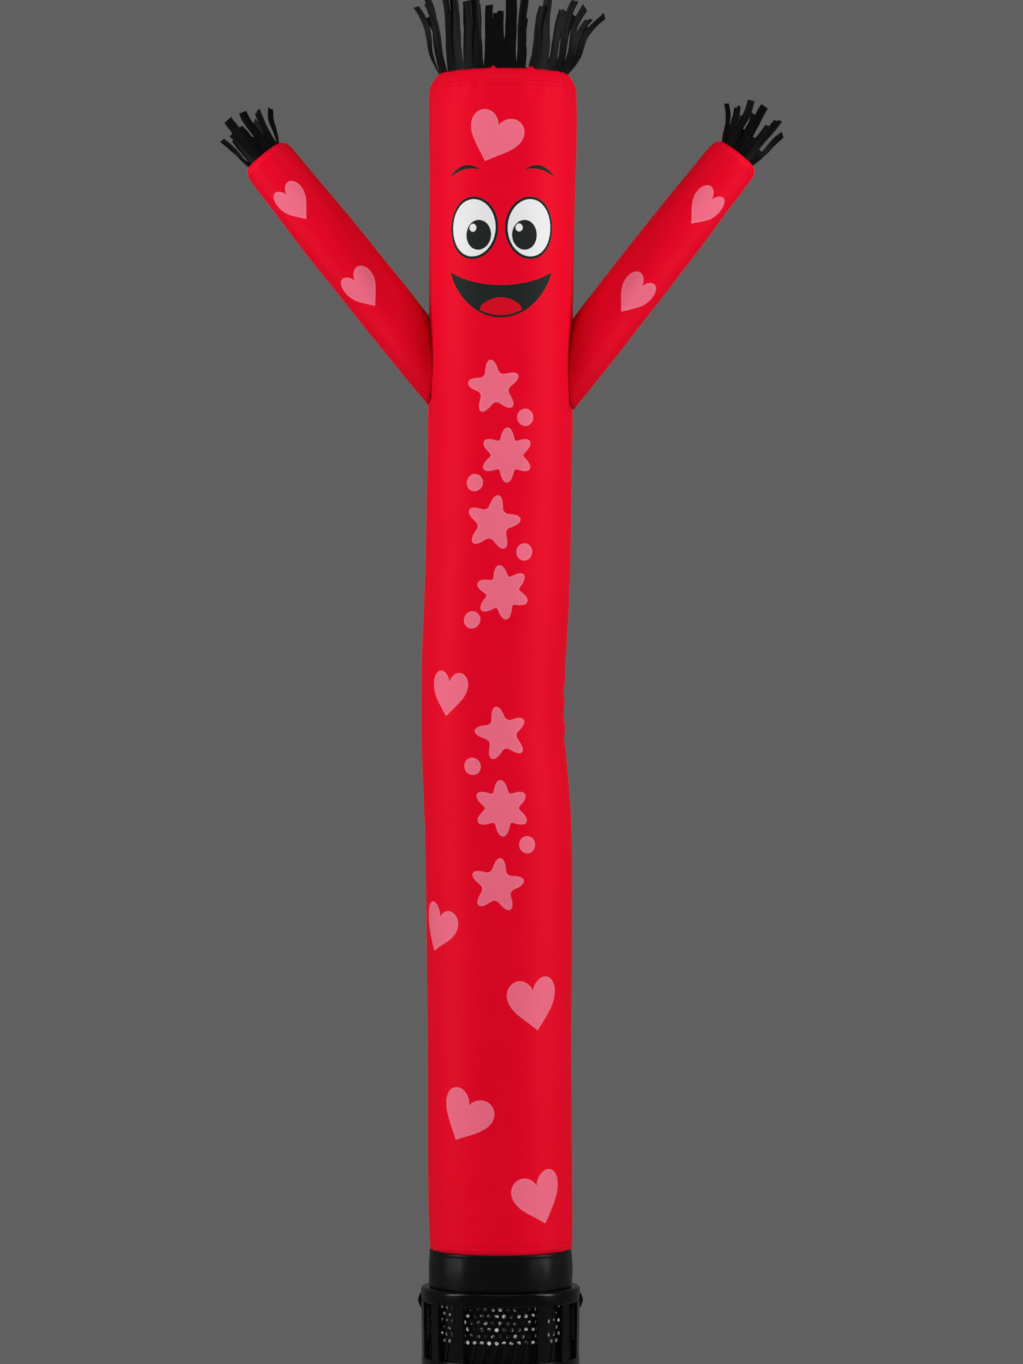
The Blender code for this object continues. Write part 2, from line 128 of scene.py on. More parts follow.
# Fringes, as in the solids: each strip's angle, width, length, lean out and to the side, and twist
Strip = namedtuple("Strip", "angle width length out drift twist")
HAIR_FRONT = [
    (-88, 11, 113, 38, 0, 58), (-76, 12, 119, 22, -3, 40), (-65, 12, 109, 26, -8, 24),
    (-54, 16, 126, 13, -2, 0), (-43, 17, 122, 6, -11, 0), (-32.5, 15, 105, 8, 2, 4),
    (-23, 15, 120, 4, -4, -4), (-13.5, 12, 97, 6, 3, 8), (-4, 17, 88, 12, 0, 0),
    (6, 17, 122, 10, 1, 0), (15.5, 13, 112, 5, 5, 0), (28, 15, 100, 13, 12, 0),
    (38, 16, 118, 7, 7, -3), (47.5, 15, 97, 14, 13, -6), (57.5, 14, 113, 22, 14, -16),
    (67.5, 12, 108, 34, 12, -34), (77.5, 11, 94, 36, 9, -46), (89, 11, 109, 57, 1, -58),
]
HAIR_SIDE_FROM_DEG = 80
HAIR_BACK_LENGTHENS = [6, -8, 5, -10, 12, 9]
HAIR_BEND = 1.25
HAND_STRIPS = {
    "left": [
        (-118, 8, 40, 2, 4, 20), (-80, 9, 60, 5, 0, 58), (-47, 10, 50, 0, 1, 25), (-20, 15, 76, 6, 1, 0),
        (18, 13, 71, 7, 3.5, 0), (48, 12, 61, 12, 4.5, -16), (82, 12, 57, 25, 0, -42),
        (112, 9, 52, 21, 0, -24), (145, 12, 56, 7, 0, 0), (182, 12, 64, 5, 1, 0), (210, 13, 62, 4, 0, 0),
    ],
    "right": [
        (-105, 9, 50, 14, 0, 24), (-82, 9, 60, 30, 0, 62), (-56, 11, 62, 22, -4.5, 34),
        (-30, 13, 79, 20, -10.5, 4), (-3, 13, 82, 10, -8.5, 0), (35, 13, 79, 6, -2, -14),
        (76, 10, 68, 9.5, 0, -58), (115, 9, 52, 4, 0, -20), (160, 12, 70, 5, 1, 0),
        (190, 12, 71, 8, 10, 0), (220, 12, 58, 16, 4, 0),
    ],
}
HAND_BEND = 1.5
STRIP_CLOTH = 0.5
STRIP_STEPS = 20
STRIP_ACROSS = 6
STRIP_ROOT_SPREAD = 0.25
STRIP_FRAY = 1.6
STRIP_CREASE = 0.45
STRIP_NOTCH = 4
STRIP_NOTCHED_FROM = 45
STRIP_SWEEP = 0.001
UNDER_LENGTH = 0.42
UNDER_SIDE_DEG = 30
UNDER_INSET = 1.3
BAND_BELOW_EDGE = 6
BAND_ABOVE_EDGE = 1.5
BAND_SIDES = 90
# The solids' cloth, their sides round the tube and round a sleeve, and the gap that keeps a fringe off them
SOLID_CLOTH = 1.2
SOLID_TUBE_SIDES = 40
SOLID_ARM_SIDES = 24
FRINGE_GAP = 0.3

# Prints on the tube: across is round the tube from its front line, in millimetres
PRINT_RADIUS = 112.5
PRINT_LIFT = 0.12
PRINT_PITCH = 4.0
HEART_LOBE_POWER = 2.7
HEART_FLANK_POWER = 2.0
# Hearts: across, height, width, length and tilt
TUBE_HEARTS = [
    (-13.5, 1992.7, 84, 75, 20.4), (-73.2, 1142.7, 66, 68, 6.2), (-110.0, 781.3, 80, 71.5, 18.7),
    (57.4, 666.9, 85.5, 79.5, -8.1), (-56.2, 494.1, 87, 76, 24.5), (65.5, 368.9, 88, 78.5, -15.6),
]
# Hearts on the sleeves: the height is along the sleeve from its root
ARM_HEARTS = {
    "left": [(-12.0, 318.2, 53, 62, -0.9), (-12.0, 148.3, 55, 64, -0.1)],
    "right": [(13.0, 307.4, 53, 63, 3.0), (9.7, 135.0, 53, 65, 1.4)],
}
ARM_PRINT_RADIUS = 44
# Plain motifs down the front: kind, across, height, size and turn
FRONT_MOTIFS = [
    ("star", -10, 1612, 84, 8), ("dot", 40, 1566, 26, 0), ("flower", 12, 1508, 84, 0),
    ("dot", -38, 1466, 26, 0), ("star", -8, 1404, 86, -10), ("dot", 42, 1360, 26, 0),
    ("flower", 10, 1298, 84, 10), ("dot", -36, 1256, 26, 0), ("star", 14, 1082, 84, 12),
    ("dot", -34, 1032, 26, 0), ("flower", 8, 968, 86, 0), ("dot", 46, 912, 26, 0), ("star", -2, 850, 84, -8),
]

# Face: a plain cartoon one
EYE_ACROSS = 45
EYE_HEIGHT = 1856
EYE_SIZE = (80, 96)
EYE_LINE = 4.4
PUPIL_SIZE = (40, 46)
PUPIL_SHIFT = (9, -11)
GLINT_SIZE = (11, 12)
GLINT_SHIFT = (-9, 11)
BROW_ACROSS = 60
BROW_HEIGHT = 1940
BROW_SPAN = 50
BROW_RISE = 19
BROW_THICKNESS = 6.5
MOUTH_HALF = 86
MOUTH_CORNER_HEIGHT = 1790
MOUTH_UPPER_SAG = 22
MOUTH_LOWER_SAG = 72
TONGUE_HALF = 33
TONGUE_TOP = 1749
TONGUE_LIFT = 4

# Cuff round the outlet neck
CUFF_TOP = 283.7
CUFF_TOP_RADIUS = 109.0
CUFF_FOOT = 226.3
CUFF_FOOT_RADIUS = 110.4
CUFF_CLOTH = 1.0
CUFF_ROWS = 34

# Sewing
STITCH_PITCH = 3.8
STITCH_LENGTH = 2.7
STITCH_RADIUS = 0.32
STITCH_SIDES = 6

# Blower: a turned outlet, a cage, a perforated drum, and a base
NECK_BORE = 104.2
NECK_RADIUS = 107.5
NECK_TOP = 280
FLANGE_TOP = 226
FLANGE_UNDERSIDE = 219
RIM_RADIUS = 123.5
RIM_ROUNDING = 4
SKIRT_INSIDE = 118.5
SKIRT_BOTTOM = 205
CAGE_RADIUS = 122.5
CAGE_WALL = 5
CAGE_RING_TOP = 118
PILLAR_FIRST_DEG = 32
PILLAR_PITCH_DEG = 23
PILLARS_EACH_SIDE = 6
PILLAR_WIDTH = 20
PILLAR_TOP_RADIUS = 123.8
# A catch on the rim: its outline as (radius, height), and its half width in degrees at the rim and outside
LUG_OUTLINE = [(122.4, 217), (125.0, 214), (127.8, 207), (128.2, 203), (125.4, 195), (122.4, 191)]
LUG_HALF_DEG = (3.6, 2.4)
DRUM_RADIUS = 113.5
DRUM_WALL = 0.8
DRUM_TOP = 218.7
HOLE_ROWS = 6
HOLE_ROW_PITCH = 10.3
HOLE_TOP_ROW = 201.4
HOLES_ROUND = 62
HOLE_RADIUS = 2.9
RIB_COUNT = 44
RIB_TOP = 145
RIB_SLANT_DEG = 4.5
RIB_HALF_DEG = 1.1
RIB_RADII = (115.6, 113.0)
CORE_RADIUS = 104
CORE_TOP = 190
CORE_RIM_TOP = 203.5
BASE_TOP = 98
BASE_RADIUS = 122.5
BASE_FLOOR = 6
BASE_WALL = 6.5
LIP_INSIDE = 109
FOOT_RADIUS = 130
FOOT_TOP = 12
ROUND_SIDES = 160
AXIS_HOLE = 0.5
PART_GAP = 0.3
MOULDING_SHARP_DEG = 38
FRINGE_SHARP_DEG = 40


# Materials
class Looks:
    """A material with its nodes. A value is a socket, a number or a colour."""

    def __init__(self, name):
        self.material = bpy.data.materials.new(name)
        self.material.use_nodes = True
        self.tree = self.material.node_tree
        self.surface = self.tree.nodes["Principled BSDF"].inputs
        self.place = self.node("TexCoord").outputs["Object"]

    def node(self, kind, **values):
        """A new node with its inputs set."""
        node = self.tree.nodes.new("ShaderNode" + kind)
        for name, value in values.items():
            self.put(node.inputs[name], value)
        return node

    def put(self, socket, value):
        if isinstance(value, bpy.types.NodeSocket):
            self.tree.links.new(value, socket)
        else:
            socket.default_value = (*value, 1) if isinstance(value, tuple) else value

    def maths(self, operation, *values, clamp=False):
        node = self.node("Math")
        node.operation = operation
        node.use_clamp = clamp
        for socket, value in zip(node.inputs, values):
            self.put(socket, value)
        return node.outputs[0]

    def noise(self, scale, detail=2.0):
        return self.node("TexNoise", Scale=scale, Detail=detail, Vector=self.place).outputs["Fac"]

    def mixed(self, share, first, second):
        mix = self.node("Mix")
        mix.data_type = "RGBA"
        for name, value in (("Factor", share), ("A", first), ("B", second)):
            self.put(mix.inputs[name], value)
        return mix.outputs["Result"]

    def split(self, vector):
        return self.node("SeparateXYZ", Vector=vector).outputs

    def kept(self, name):
        """A value that is kept on the mesh's points."""
        node = self.node("Attribute")
        node.attribute_name = name
        return node.outputs["Fac"]

    def finished(self, colour, uneven, spread, roughness, specular, grain, strength, depth):
        """The material, with its roughness spread unevenly and a fine grain of a depth in millimetres."""
        self.put(self.surface["Base Color"], colour)
        rough = self.maths("MULTIPLY_ADD", uneven, spread, roughness - spread / 2)
        self.put(self.surface["Roughness"], rough)
        self.surface["Specular IOR Level"].default_value = specular
        bump = self.node("Bump", Strength=strength, Distance=depth * MM, Height=grain)
        self.put(self.surface["Normal"], bump.outputs["Normal"])
        return self.material


WEAVE_PITCH = 1.1 * MM
# A belt of the core kept free of the painted shade patches, a painted bright band seen through the lowest row
# of holes
PAINTED_BRIGHT_BAND = 0.1495
PAINTED_BRIGHT_BAND_REACH = 0.007


def cloth_material(name, colour, shade, roughness, specular, rim=None, seam=None):
    """Woven nylon: a weave that lifts and darkens, and soft uneven colour. Two values kept on a mesh may
    change it: inside fades a print to its rim's colour, and seam is painted shade: it darkens a sleeve beside
    its seam, where the tube shades it."""
    looks = Looks(name)
    cloth_map = looks.node("UVMap")
    cloth_map.uv_map = "Cloth"
    flat = looks.split(cloth_map.outputs["UV"])
    waves = [looks.maths("SINE", looks.maths("MULTIPLY", flat[i], tau / WEAVE_PITCH)) for i in (0, 1)]
    threads = looks.maths("MULTIPLY_ADD", looks.maths("MULTIPLY", *waves), 0.5, 0.5)
    lighter = tuple(min(1, part * 1.06 + 0.002) for part in colour)
    base = looks.mixed(looks.noise(9.0), colour, lighter)
    if rim:
        base = looks.mixed(looks.kept("inside"), rim, base)
    # Painted shade: near a sleeve's seam the colour is mixed towards a dark red
    if seam:
        base = looks.mixed(looks.kept("seam"), base, seam)
    base = looks.mixed(looks.maths("MULTIPLY", threads, 0.35), base, shade)
    fine = looks.maths("ADD", threads, looks.maths("MULTIPLY", looks.noise(420.0), 0.6))
    return looks.finished(base, looks.noise(25.0), 0.10, roughness, specular, fine, 0.25, 0.12)


def plastic_material(name, colour, worn, roughness, specular, painted_shade_patches=0.0):
    """Moulded plastic: fine grain, uneven gloss and paler worn edges. Mottle is painted shade: it darkens
    patches, all but a belt left pale, which is a painted bright band.
    """
    looks = Looks(name)
    wear = looks.node("NewGeometry").outputs["Pointiness"]
    edge = looks.maths("MULTIPLY", looks.maths("SUBTRACT", wear, 0.52), 6.0, clamp=True)
    scuffs = looks.maths("MULTIPLY", edge, looks.noise(60.0, 4.0))
    scuffs = looks.maths("ADD", scuffs, looks.maths("MULTIPLY", looks.noise(14.0, 5.0), 0.12))
    base = looks.mixed(scuffs, colour, worn)
    if painted_shade_patches:
        # Painted shade: the core is darkened in random patches so that some holes look dark, all but a belt
        # left pale as a painted bright band
        off_band = looks.maths("ABSOLUTE", looks.maths("SUBTRACT", looks.split(looks.place)["Z"], PAINTED_BRIGHT_BAND))
        far = looks.maths("MULTIPLY", off_band, 1 / PAINTED_BRIGHT_BAND_REACH)
        painted_shade_spots = looks.maths("MULTIPLY", looks.maths("SUBTRACT", looks.noise(130.0, 3.0), 0.5), 9.0)
        painted_shade_spots = looks.maths("ADD", painted_shade_spots, looks.maths("SUBTRACT", 1.0, far, clamp=True), clamp=True)
        base = looks.mixed(painted_shade_spots, tuple(part * painted_shade_patches for part in colour), base)
    grain = looks.noise(900.0)
    return looks.finished(base, looks.noise(35.0, 3.0), 0.16, roughness, specular, grain, 0.15, 0.1)


RED = (0.85, 0.0012, 0.0225)
RED_SHADE = (0.63, 0.0008, 0.0125)
# Painted shade: the dark red painted on a sleeve beside its seam, where the tube shades it
RED_PAINTED_SEAM_SHADE = (0.37, 0.0, 0.0012)
red_nylon = cloth_material("red_nylon_weave", RED, RED_SHADE, 0.5, 0.03, seam=RED_PAINTED_SEAM_SHADE)
PINK = (0.90, 0.160, 0.252)
PINK_RIM = (0.94, 0.205, 0.29)
pink_print = cloth_material("pink_print", PINK, (0.79, 0.11, 0.182), 0.5, 0.04, rim=PINK_RIM)
black_print = cloth_material("black_print", (0.016, 0.020, 0.018), (0.012, 0.015, 0.014), 0.5, 0.06)
white_print = cloth_material("white_print", (0.84, 0.84, 0.85), (0.72, 0.72, 0.74), 0.5, 0.06)
tongue_print = cloth_material("tongue_print", (0.70, 0.003, 0.018), (0.5, 0.002, 0.01), 0.5, 0.06)
BLACK = (0.0034, 0.0034, 0.0035)
black_nylon = cloth_material("black_nylon_weave", BLACK, (0.002, 0.002, 0.002), 0.42, 0.06)
CUFF_BLACK = (0.0022, 0.0022, 0.0022)
cuff_nylon = cloth_material("black_nylon_cuff", CUFF_BLACK, (0.0014, 0.0014, 0.0014), 0.34, 0.16)
red_thread = cloth_material("red_thread", (0.66, 0.002, 0.011), (0.45, 0.001, 0.006), 0.6, 0.06)
black_thread = cloth_material("black_thread", (0.012, 0.012, 0.012), (0.006, 0.006, 0.006), 0.55, 0.15)
WORN = (0.009, 0.009, 0.0095)
black_plastic = plastic_material("black_plastic_moulded", (0.0012, 0.0012, 0.0013), WORN, 0.2, 0.2)
GUARD_BLACK = (0.0015, 0.0015, 0.0015)
drum_plastic = plastic_material("black_plastic_guard", GUARD_BLACK, (0.006, 0.006, 0.006), 0.5, 0.08)
PALE = (0.86, 0.86, 0.85)
# The core carries painted shade patches and a painted bright belt
pale_plastic = plastic_material("pale_plastic_core", PALE, (0.92, 0.92, 0.91), 0.35, 0.5, painted_shade_patches=0.02)


# Shapes of the tube and the sleeves
def turns(count):
    return [tau * step / count for step in range(count)]


def ring_place(radius, angle, height):
    return Vector((radius * sin(angle), -radius * cos(angle), height))


def between(keys, values, place):
    """A smooth value between two rows of a table, by cubic steps through a column."""
    place = min(max(place, keys[0]), keys[-1])
    index = max(i for i, start in enumerate(keys[:-1]) if start <= place)
    slopes = []
    for i in (index, index + 1):
        before, after = max(i - 1, 0), min(i + 1, len(keys) - 1)
        slopes.append((values[after] - values[before]) / (keys[after] - keys[before]))
    width = keys[index + 1] - keys[index]
    t = (place - keys[index]) / width
    climbed = values[index] + (3 * t * t - 2 * t**3) * (values[index + 1] - values[index])
    return climbed + (t - 2 * t * t + t**3) * width * slopes[0] + (t**3 - t * t) * width * slopes[1]


def fold_relief(folds, angle, height, radius):
    """How far the folds lift the cloth at a place, in millimetres."""
    lift = 0.0
    for middle_deg, middle, run, width, turn_deg, depth in folds:
        up = height - middle
        if abs(up) > 3 * (run + width):
            continue
        across = radians((degrees(angle) - middle_deg + 180) % 360 - 180) * radius
        slant = radians(turn_deg)
        along = up * cos(slant) + across * sin(slant)
        beside = across * cos(slant) - up * sin(slant) + FOLD_BOW * along * along
        lift += depth * exp(-((along / run) ** 2) - (beside / width) ** 2)
    return lift


@lru_cache(maxsize=None)
def tube_shape(height):
    return between(TUBE_HEIGHTS, TUBE_LEANS, height), between(TUBE_HEIGHTS, TUBE_RADII, height)


def uneven(angle, size, seed):
    """Smooth noise round a ring; a larger size makes it finer."""
    return noise.noise(Vector((size * cos(angle), size * sin(angle), seed)))


def tube_relief(angle, height):
    lift = fold_relief(TUBE_FOLDS, angle, height, PRINT_RADIUS)
    lift += 0.35 * cos(3 * angle + 0.9 + height / 900) + 0.25 * cos(5 * angle - height / 620)
    lift += 0.7 * uneven(angle, 1.6, height / 150)
    near_top = max(0.0, 1 - (TUBE_TOP - height) / TOP_PUCKER_REACH)
    if near_top:
        puckers = sin(TOP_PUCKERS * angle + 3.6 * uneven(angle, 2, 3)) * (1 + 0.7 * uneven(angle, 3, 7))
        lift += TOP_PUCKER_DEPTH * puckers * near_top**1.1 * (1 - 0.6 * near_top)
    near_foot = max(0.0, 1 - (height - TUBE_FOOT) / FOOT_PUCKER_REACH)
    return lift + 0.25 * near_foot * sin(FOOT_PUCKERS * angle + 2 * sin(3 * angle))


def tube_point(angle, height, lift=0.0):
    """A point on the tube's cloth: height in millimetres, lift off the cloth in millimetres."""
    lean, radius = tube_shape(height)
    return (Vector((lean, 0, 0)) + ring_place(radius + tube_relief(angle, height) + lift, angle, height)) * MM


def arm_radius(along):
    return between(ARM_FROM_WRIST, ARM_RADII, ARM_LENGTH - along)


def arm_axes(arm):
    tilt = radians(arm.tilt_deg)
    start = Vector((arm.root_x, 0, arm.root_height))
    return start, Vector((sin(tilt), 0, cos(tilt))), Vector((cos(tilt), 0, -sin(tilt)))


def arm_outward(arm, angle):
    return arm_axes(arm)[2] * sin(angle) - Vector((0, cos(angle), 0))


def arm_plain_point(arm, angle, along, reach):
    start, axis, _ = arm_axes(arm)
    return start + axis * along + arm_outward(arm, angle) * reach


def seam_depth(arm, angle):
    """How far the sleeve is drawn in at its seam: most in front and behind, on the side of the tube."""
    inner_side = 0.5 + 0.5 * arm.mirror * sin(angle)
    return 0.3 + (1.5 + 9.5 * inner_side) * abs(cos(angle))


@lru_cache(maxsize=None)
def arm_root(arm, angle):
    """How far along the sleeve its generator at this angle leaves the tube."""
    low, high = -60.0, 200.0
    depth = seam_depth(arm, angle)
    for _ in range(40):
        middle = (low + high) / 2
        point = arm_plain_point(arm, angle, middle, arm_radius(middle) - depth)
        lean, radius = tube_shape(point.z)
        if hypot(point.x - lean, point.y) < radius:
            low = middle
        else:
            high = middle
    return high


def arm_reach(arm, angle, along, root):
    lift = fold_relief(ARM_FOLDS, arm.mirror * angle, along, ARM_PRINT_RADIUS)
    lift += 0.5 * uneven(angle, 1.7, 1.7 * (along / 120 + arm.mirror * 5))
    near_seam = max(0.0, 1 - (along - root) / SEAM_REACH)
    lift -= seam_depth(arm, angle) * near_seam**2
    lift += 0.7 * near_seam * (1 - near_seam) * sin(SEAM_TUCKS * angle + 2 * sin(angle))
    near_wrist = max(0.0, 1 - (ARM_LENGTH - along) / WRIST_PUCKER_REACH)
    puckers = sin(WRIST_PUCKERS * angle + 1.5 * sin(2 * angle))
    return arm_radius(along) + lift + 1.1 * near_wrist * (1 - 0.6 * near_wrist) * puckers


def arm_point(arm, angle, along, lift=0.0):
    reach = arm_reach(arm, angle, along, arm_root(arm, angle)) + lift
    return arm_plain_point(arm, angle, along, reach) * MM


# Meshes
def linked(name, data):
    thing = bpy.data.objects.new(name, data)
    bpy.context.scene.collection.objects.link(thing)
    return thing


def add_piece(name, mesh, material, slot, sharp_deg=0):
    """A piece of a mesh, smooth, or smooth only up to an angle."""
    mesh.materials.append(material)
    piece = linked(name, mesh)
    if sharp_deg:
        shape = bmesh.new()
        shape.from_mesh(mesh)
        bmesh.ops.recalc_face_normals(shape, faces=shape.faces)
        shape.to_mesh(mesh)
        shape.free()
    mesh.shade_smooth()
    if sharp_deg:
        mesh.set_sharp_from_angle(angle=radians(sharp_deg))
    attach(piece, BODY)
    return piece


def new_piece(name, points, faces, material, slot, uvs=None, sharp_deg=0):
    mesh = bpy.data.meshes.new(name)
    mesh.from_pydata(points, [], faces)
    if uvs:
        layer = mesh.uv_layers.new(name="Cloth")
        for loop in mesh.loops:
            layer.uv[loop.index].vector = uvs[loop.vertex_index]
    return add_piece(name, mesh, material, slot, sharp_deg)


def keep_value(piece, name, values):
    piece.data.attributes.new(name, "FLOAT", "POINT").data.foreach_set("value", values)


def bevelled_piece(name, shape, material, bevel, segments):
    bmesh.ops.bevel(shape, geom=shape.edges[:], offset=bevel * MM, segments=segments, affect="EDGES")
    mesh = bpy.data.meshes.new(name)
    shape.to_mesh(mesh)
    shape.free()
    return add_piece(name, mesh, material, "black_plastic", MOULDING_SHARP_DEG)


def ring_faces(rows, sides, first=0, closed=False, flipped=False):
    """Quads between rings of points. Closed joins the last ring to the first."""
    faces = []
    for row in range(rows if closed else rows - 1):
        here, above = first + row * sides, first + (row + 1) % rows * sides
        for side in range(sides):
            after = (side + 1) % sides
            quad = (here + side, here + after, above + after, above + side)
            faces.append((quad[0], *quad[:0:-1]) if flipped else quad)
    return faces


def capped_rings(rows, sides, first=0, flipped=False):
    """Faces of a closed form: rings of points and a cap at each end."""
    last = first + (rows - 1) * sides
    caps = [tuple(reversed(range(first, first + sides))), tuple(range(last, last + sides))]
    faces = ring_faces(rows, sides, first, flipped=flipped)
    return faces + [cap[::-1] if flipped else cap for cap in caps]


def cloth_rings(name, stops, sides, radius, place, material, slot):
    """A round cloth from rings of points. Place gives a point and how far along the cloth it lies."""
    points, uvs = [], []
    for stop in stops:
        for side in range(sides):
            angle = tau * (side + 0.5) / sides - pi
            point, along = place(angle, stop)
            points.append(point)
            uvs.append(((angle + pi) * radius * MM, along * MM))
    piece = new_piece(name, points, ring_faces(len(stops), sides), material, slot, uvs)
    # The map goes on past its last column, where that meets the first
    layer = piece.data.uv_layers["Cloth"]
    wrap = tau * radius * MM
    for polygon in piece.data.polygons:
        across = [layer.uv[i].vector.x for i in polygon.loop_indices]
        if max(across) - min(across) > wrap / 2:
            for i in polygon.loop_indices:
                if layer.uv[i].vector.x < wrap / 2:
                    layer.uv[i].vector.x += wrap
    return piece


def thickened(piece, thickness):
    solid = piece.modifiers.new("cloth", "SOLIDIFY")
    solid.thickness = thickness * MM
    solid.offset = -1
    bpy.context.view_layer.update()
    dressed = bpy.data.meshes.new_from_object(piece.evaluated_get(bpy.context.evaluated_depsgraph_get()))
    old = piece.data
    piece.modifiers.clear()
    piece.data = dressed
    dressed.name = piece.name
    bpy.data.meshes.remove(old)
    piece.data.shade_smooth()


def hem_rise(angle, height):
    """How far a bit of the top hem stands up."""
    near_edge = max(0.0, 1 - (TUBE_TOP - height) / HEM_BIT_REACH)
    rise = 0.0
    for middle, bit in HEM_BITS:
        rise += bit * max(0.0, 1 - (abs(degrees(angle) - middle) / HEM_BIT_HALF_DEG) ** 2)
    return rise * near_edge


def make_tube():
    plain = TUBE_TOP - TUBE_FOOT - TOP_ZONE
    count = round(plain / TUBE_ROW_STEP)
    heights = [TUBE_FOOT + plain * row / count for row in range(count + 1)]
    heights += [TUBE_TOP - TOP_ZONE + TOP_ZONE * step / TOP_ZONE_ROWS for step in range(1, TOP_ZONE_ROWS + 1)]

    def place(angle, height):
        return tube_point(angle, height) + Vector((0, 0, hem_rise(angle, height) * MM)), height

    piece = cloth_rings("tube_cloth", heights, TUBE_SIDES, PRINT_RADIUS, place, red_nylon, "red_nylon")
    cut_arm_holes(piece)
    thickened(piece, CLOTH)
    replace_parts(piece, "body_tube")
    return piece


def cut_arm_holes(piece):
    """Opens the tube inside each sleeve's root."""
    shape = bmesh.new()
    shape.from_mesh(piece.data)
    for arm in ARMS:
        start, axis, side = arm_axes(arm)
        gone = []
        for face in shape.faces:
            offset = face.calc_center_median() / MM - start
            along = offset.dot(axis)
            reach = (offset - axis * along).length
            depth = seam_depth(arm, atan2(offset.dot(side), -offset.y))
            if -75 < along < 90 and reach < ARM_HOLE_RADIUS - 3 - depth:
                gone.append(face)
        bmesh.ops.delete(shape, geom=gone, context="FACES")
    shape.to_mesh(piece.data)
    shape.free()


def make_arm(arm):
    shares = [1 - (1 - row / ARM_ROWS_BETWEEN) ** 1.35 for row in range(ARM_ROWS_BETWEEN + 1)]
    painted_seam_shade = []

    def place(angle, share):
        root = arm_root(arm, angle)
        along = root + 0.5 + (ARM_LENGTH - root - 0.5) * share
        # Painted shade: how much dark red is painted on the sleeve, most near its seam and on the side
        # towards the tube
        inner_side = min(1.0, 0.78 + 0.45 * arm.mirror * sin(angle))
        painted_seam_shade.append(inner_side * max(0.0, 1 - (along - root) / SEAM_SHADE_REACH) ** 1.3)
        return arm_plain_point(arm, angle, along, arm_reach(arm, angle, along, root)) * MM, along

    name = arm.name + "_sleeve_cloth"
    piece = cloth_rings(name, shares, ARM_SIDES, ARM_PRINT_RADIUS, place, red_nylon, "red_nylon")
    keep_value(piece, "seam", painted_seam_shade)
    thickened(piece, CLOTH)
    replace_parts(piece, arm.name + "_arm")
    return piece


# Prints
def ellipse(across, height, size, count=64):
    half_width, half_height = size[0] / 2, size[1] / 2
    return [(across + half_width * cos(turn), height + half_height * sin(turn)) for turn in turns(count)]


def heart_outline(across, height, width, length, tilt_deg):
    """The common curve for a heart with straighter flanks, tilted clockwise about its middle."""
    outline = []
    tilt = radians(tilt_deg)
    for turn in turns(72):
        power = HEART_LOBE_POWER if cos(turn) > 0 else HEART_FLANK_POWER
        side = copysign(abs(sin(turn)) ** power, sin(turn)) / 2 * width
        rise = 13 * cos(turn) - 5 * cos(2 * turn) - 2 * cos(3 * turn) - cos(4 * turn)
        rise = ((rise + 17) / 28.95 - 0.5) * length
        right = across + side * cos(tilt) + rise * sin(tilt)
        outline.append((right, height - side * sin(tilt) + rise * cos(tilt)))
    return outline[::-1]


def motif_outline(kind, across, height, size, turn_deg):
    """A rounded star or flower, or a dot."""
    outline = []
    for turn in turns(90):
        reach = 1.0
        if kind == "star":
            reach = 0.56 + 0.44 * ((1 + cos(5 * turn)) / 2) ** 1.5
        elif kind == "flower":
            reach = 0.80 + 0.20 * cos(6 * turn)
        place = turn + radians(90 + turn_deg)
        reach *= size / 2
        outline.append((across + reach * cos(place), height + reach * sin(place)))
    return outline


def brow_outline(side):
    """An arched brow that tapers to both ends."""
    upper, lower = [], []
    for step in range(17):
        share = step / 16
        across = side * (BROW_ACROSS - (share - 0.5) * BROW_SPAN)
        middle = BROW_HEIGHT + BROW_RISE * sin(pi * (0.12 + 0.60 * share)) - BROW_RISE / 2
        half = BROW_THICKNESS / 2 * sin(pi * min(1, 0.06 + 0.94 * share)) ** 0.7
        upper.append((across, middle + half))
        lower.append((across, middle - half))
    return upper + lower[::-1]


def mouth_floor(share):
    """The mouth's lower edge, at a share of the way from its middle to a corner."""
    return MOUTH_CORNER_HEIGHT - MOUTH_LOWER_SAG * (1 - share * share) ** 0.8


def mouth_outline():
    """An open smile: a shallow upper arc and a deep lower one."""
    upper, lower = [], []
    for step in range(33):
        share = step / 16 - 1
        upper.append((share * MOUTH_HALF, MOUTH_CORNER_HEIGHT - MOUTH_UPPER_SAG * (1 - share * share)))
        lower.append((share * MOUTH_HALF, mouth_floor(share)))
    return upper + lower[-2:0:-1]


def tongue_outline():
    """A plain round tongue that fills the bottom of the mouth."""
    upper, lower = [], []
    for step in range(25):
        share = step / 12 - 1
        floor = mouth_floor(share * TONGUE_HALF / MOUTH_HALF) + TONGUE_LIFT
        rise = sqrt(max(0.0, 1 - share * share))
        upper.append((share * TONGUE_HALF, floor + (TONGUE_TOP - floor) * rise))
        lower.append((share * TONGUE_HALF, floor))
    return upper + lower[-2:0:-1]


def depth_inside(outline, point):
    """How far inside an outline a point lies, below zero outside it."""
    here = Vector(point)
    nearest, inside = 1e9, False
    for first, second in zip(outline, outline[1:] + outline[:1]):
        start, end = Vector(first), Vector(second)
        span = end - start
        share = min(1, max(0, (here - start).dot(span) / max(span.length_squared, 1e-12)))
        nearest = min(nearest, (start + span * share - here).length)
        if (start.y > here.y) != (end.y > here.y) and here.x < span.x * (here.y - start.y) / span.y + start.x:
            inside = not inside
    return nearest if inside else -nearest


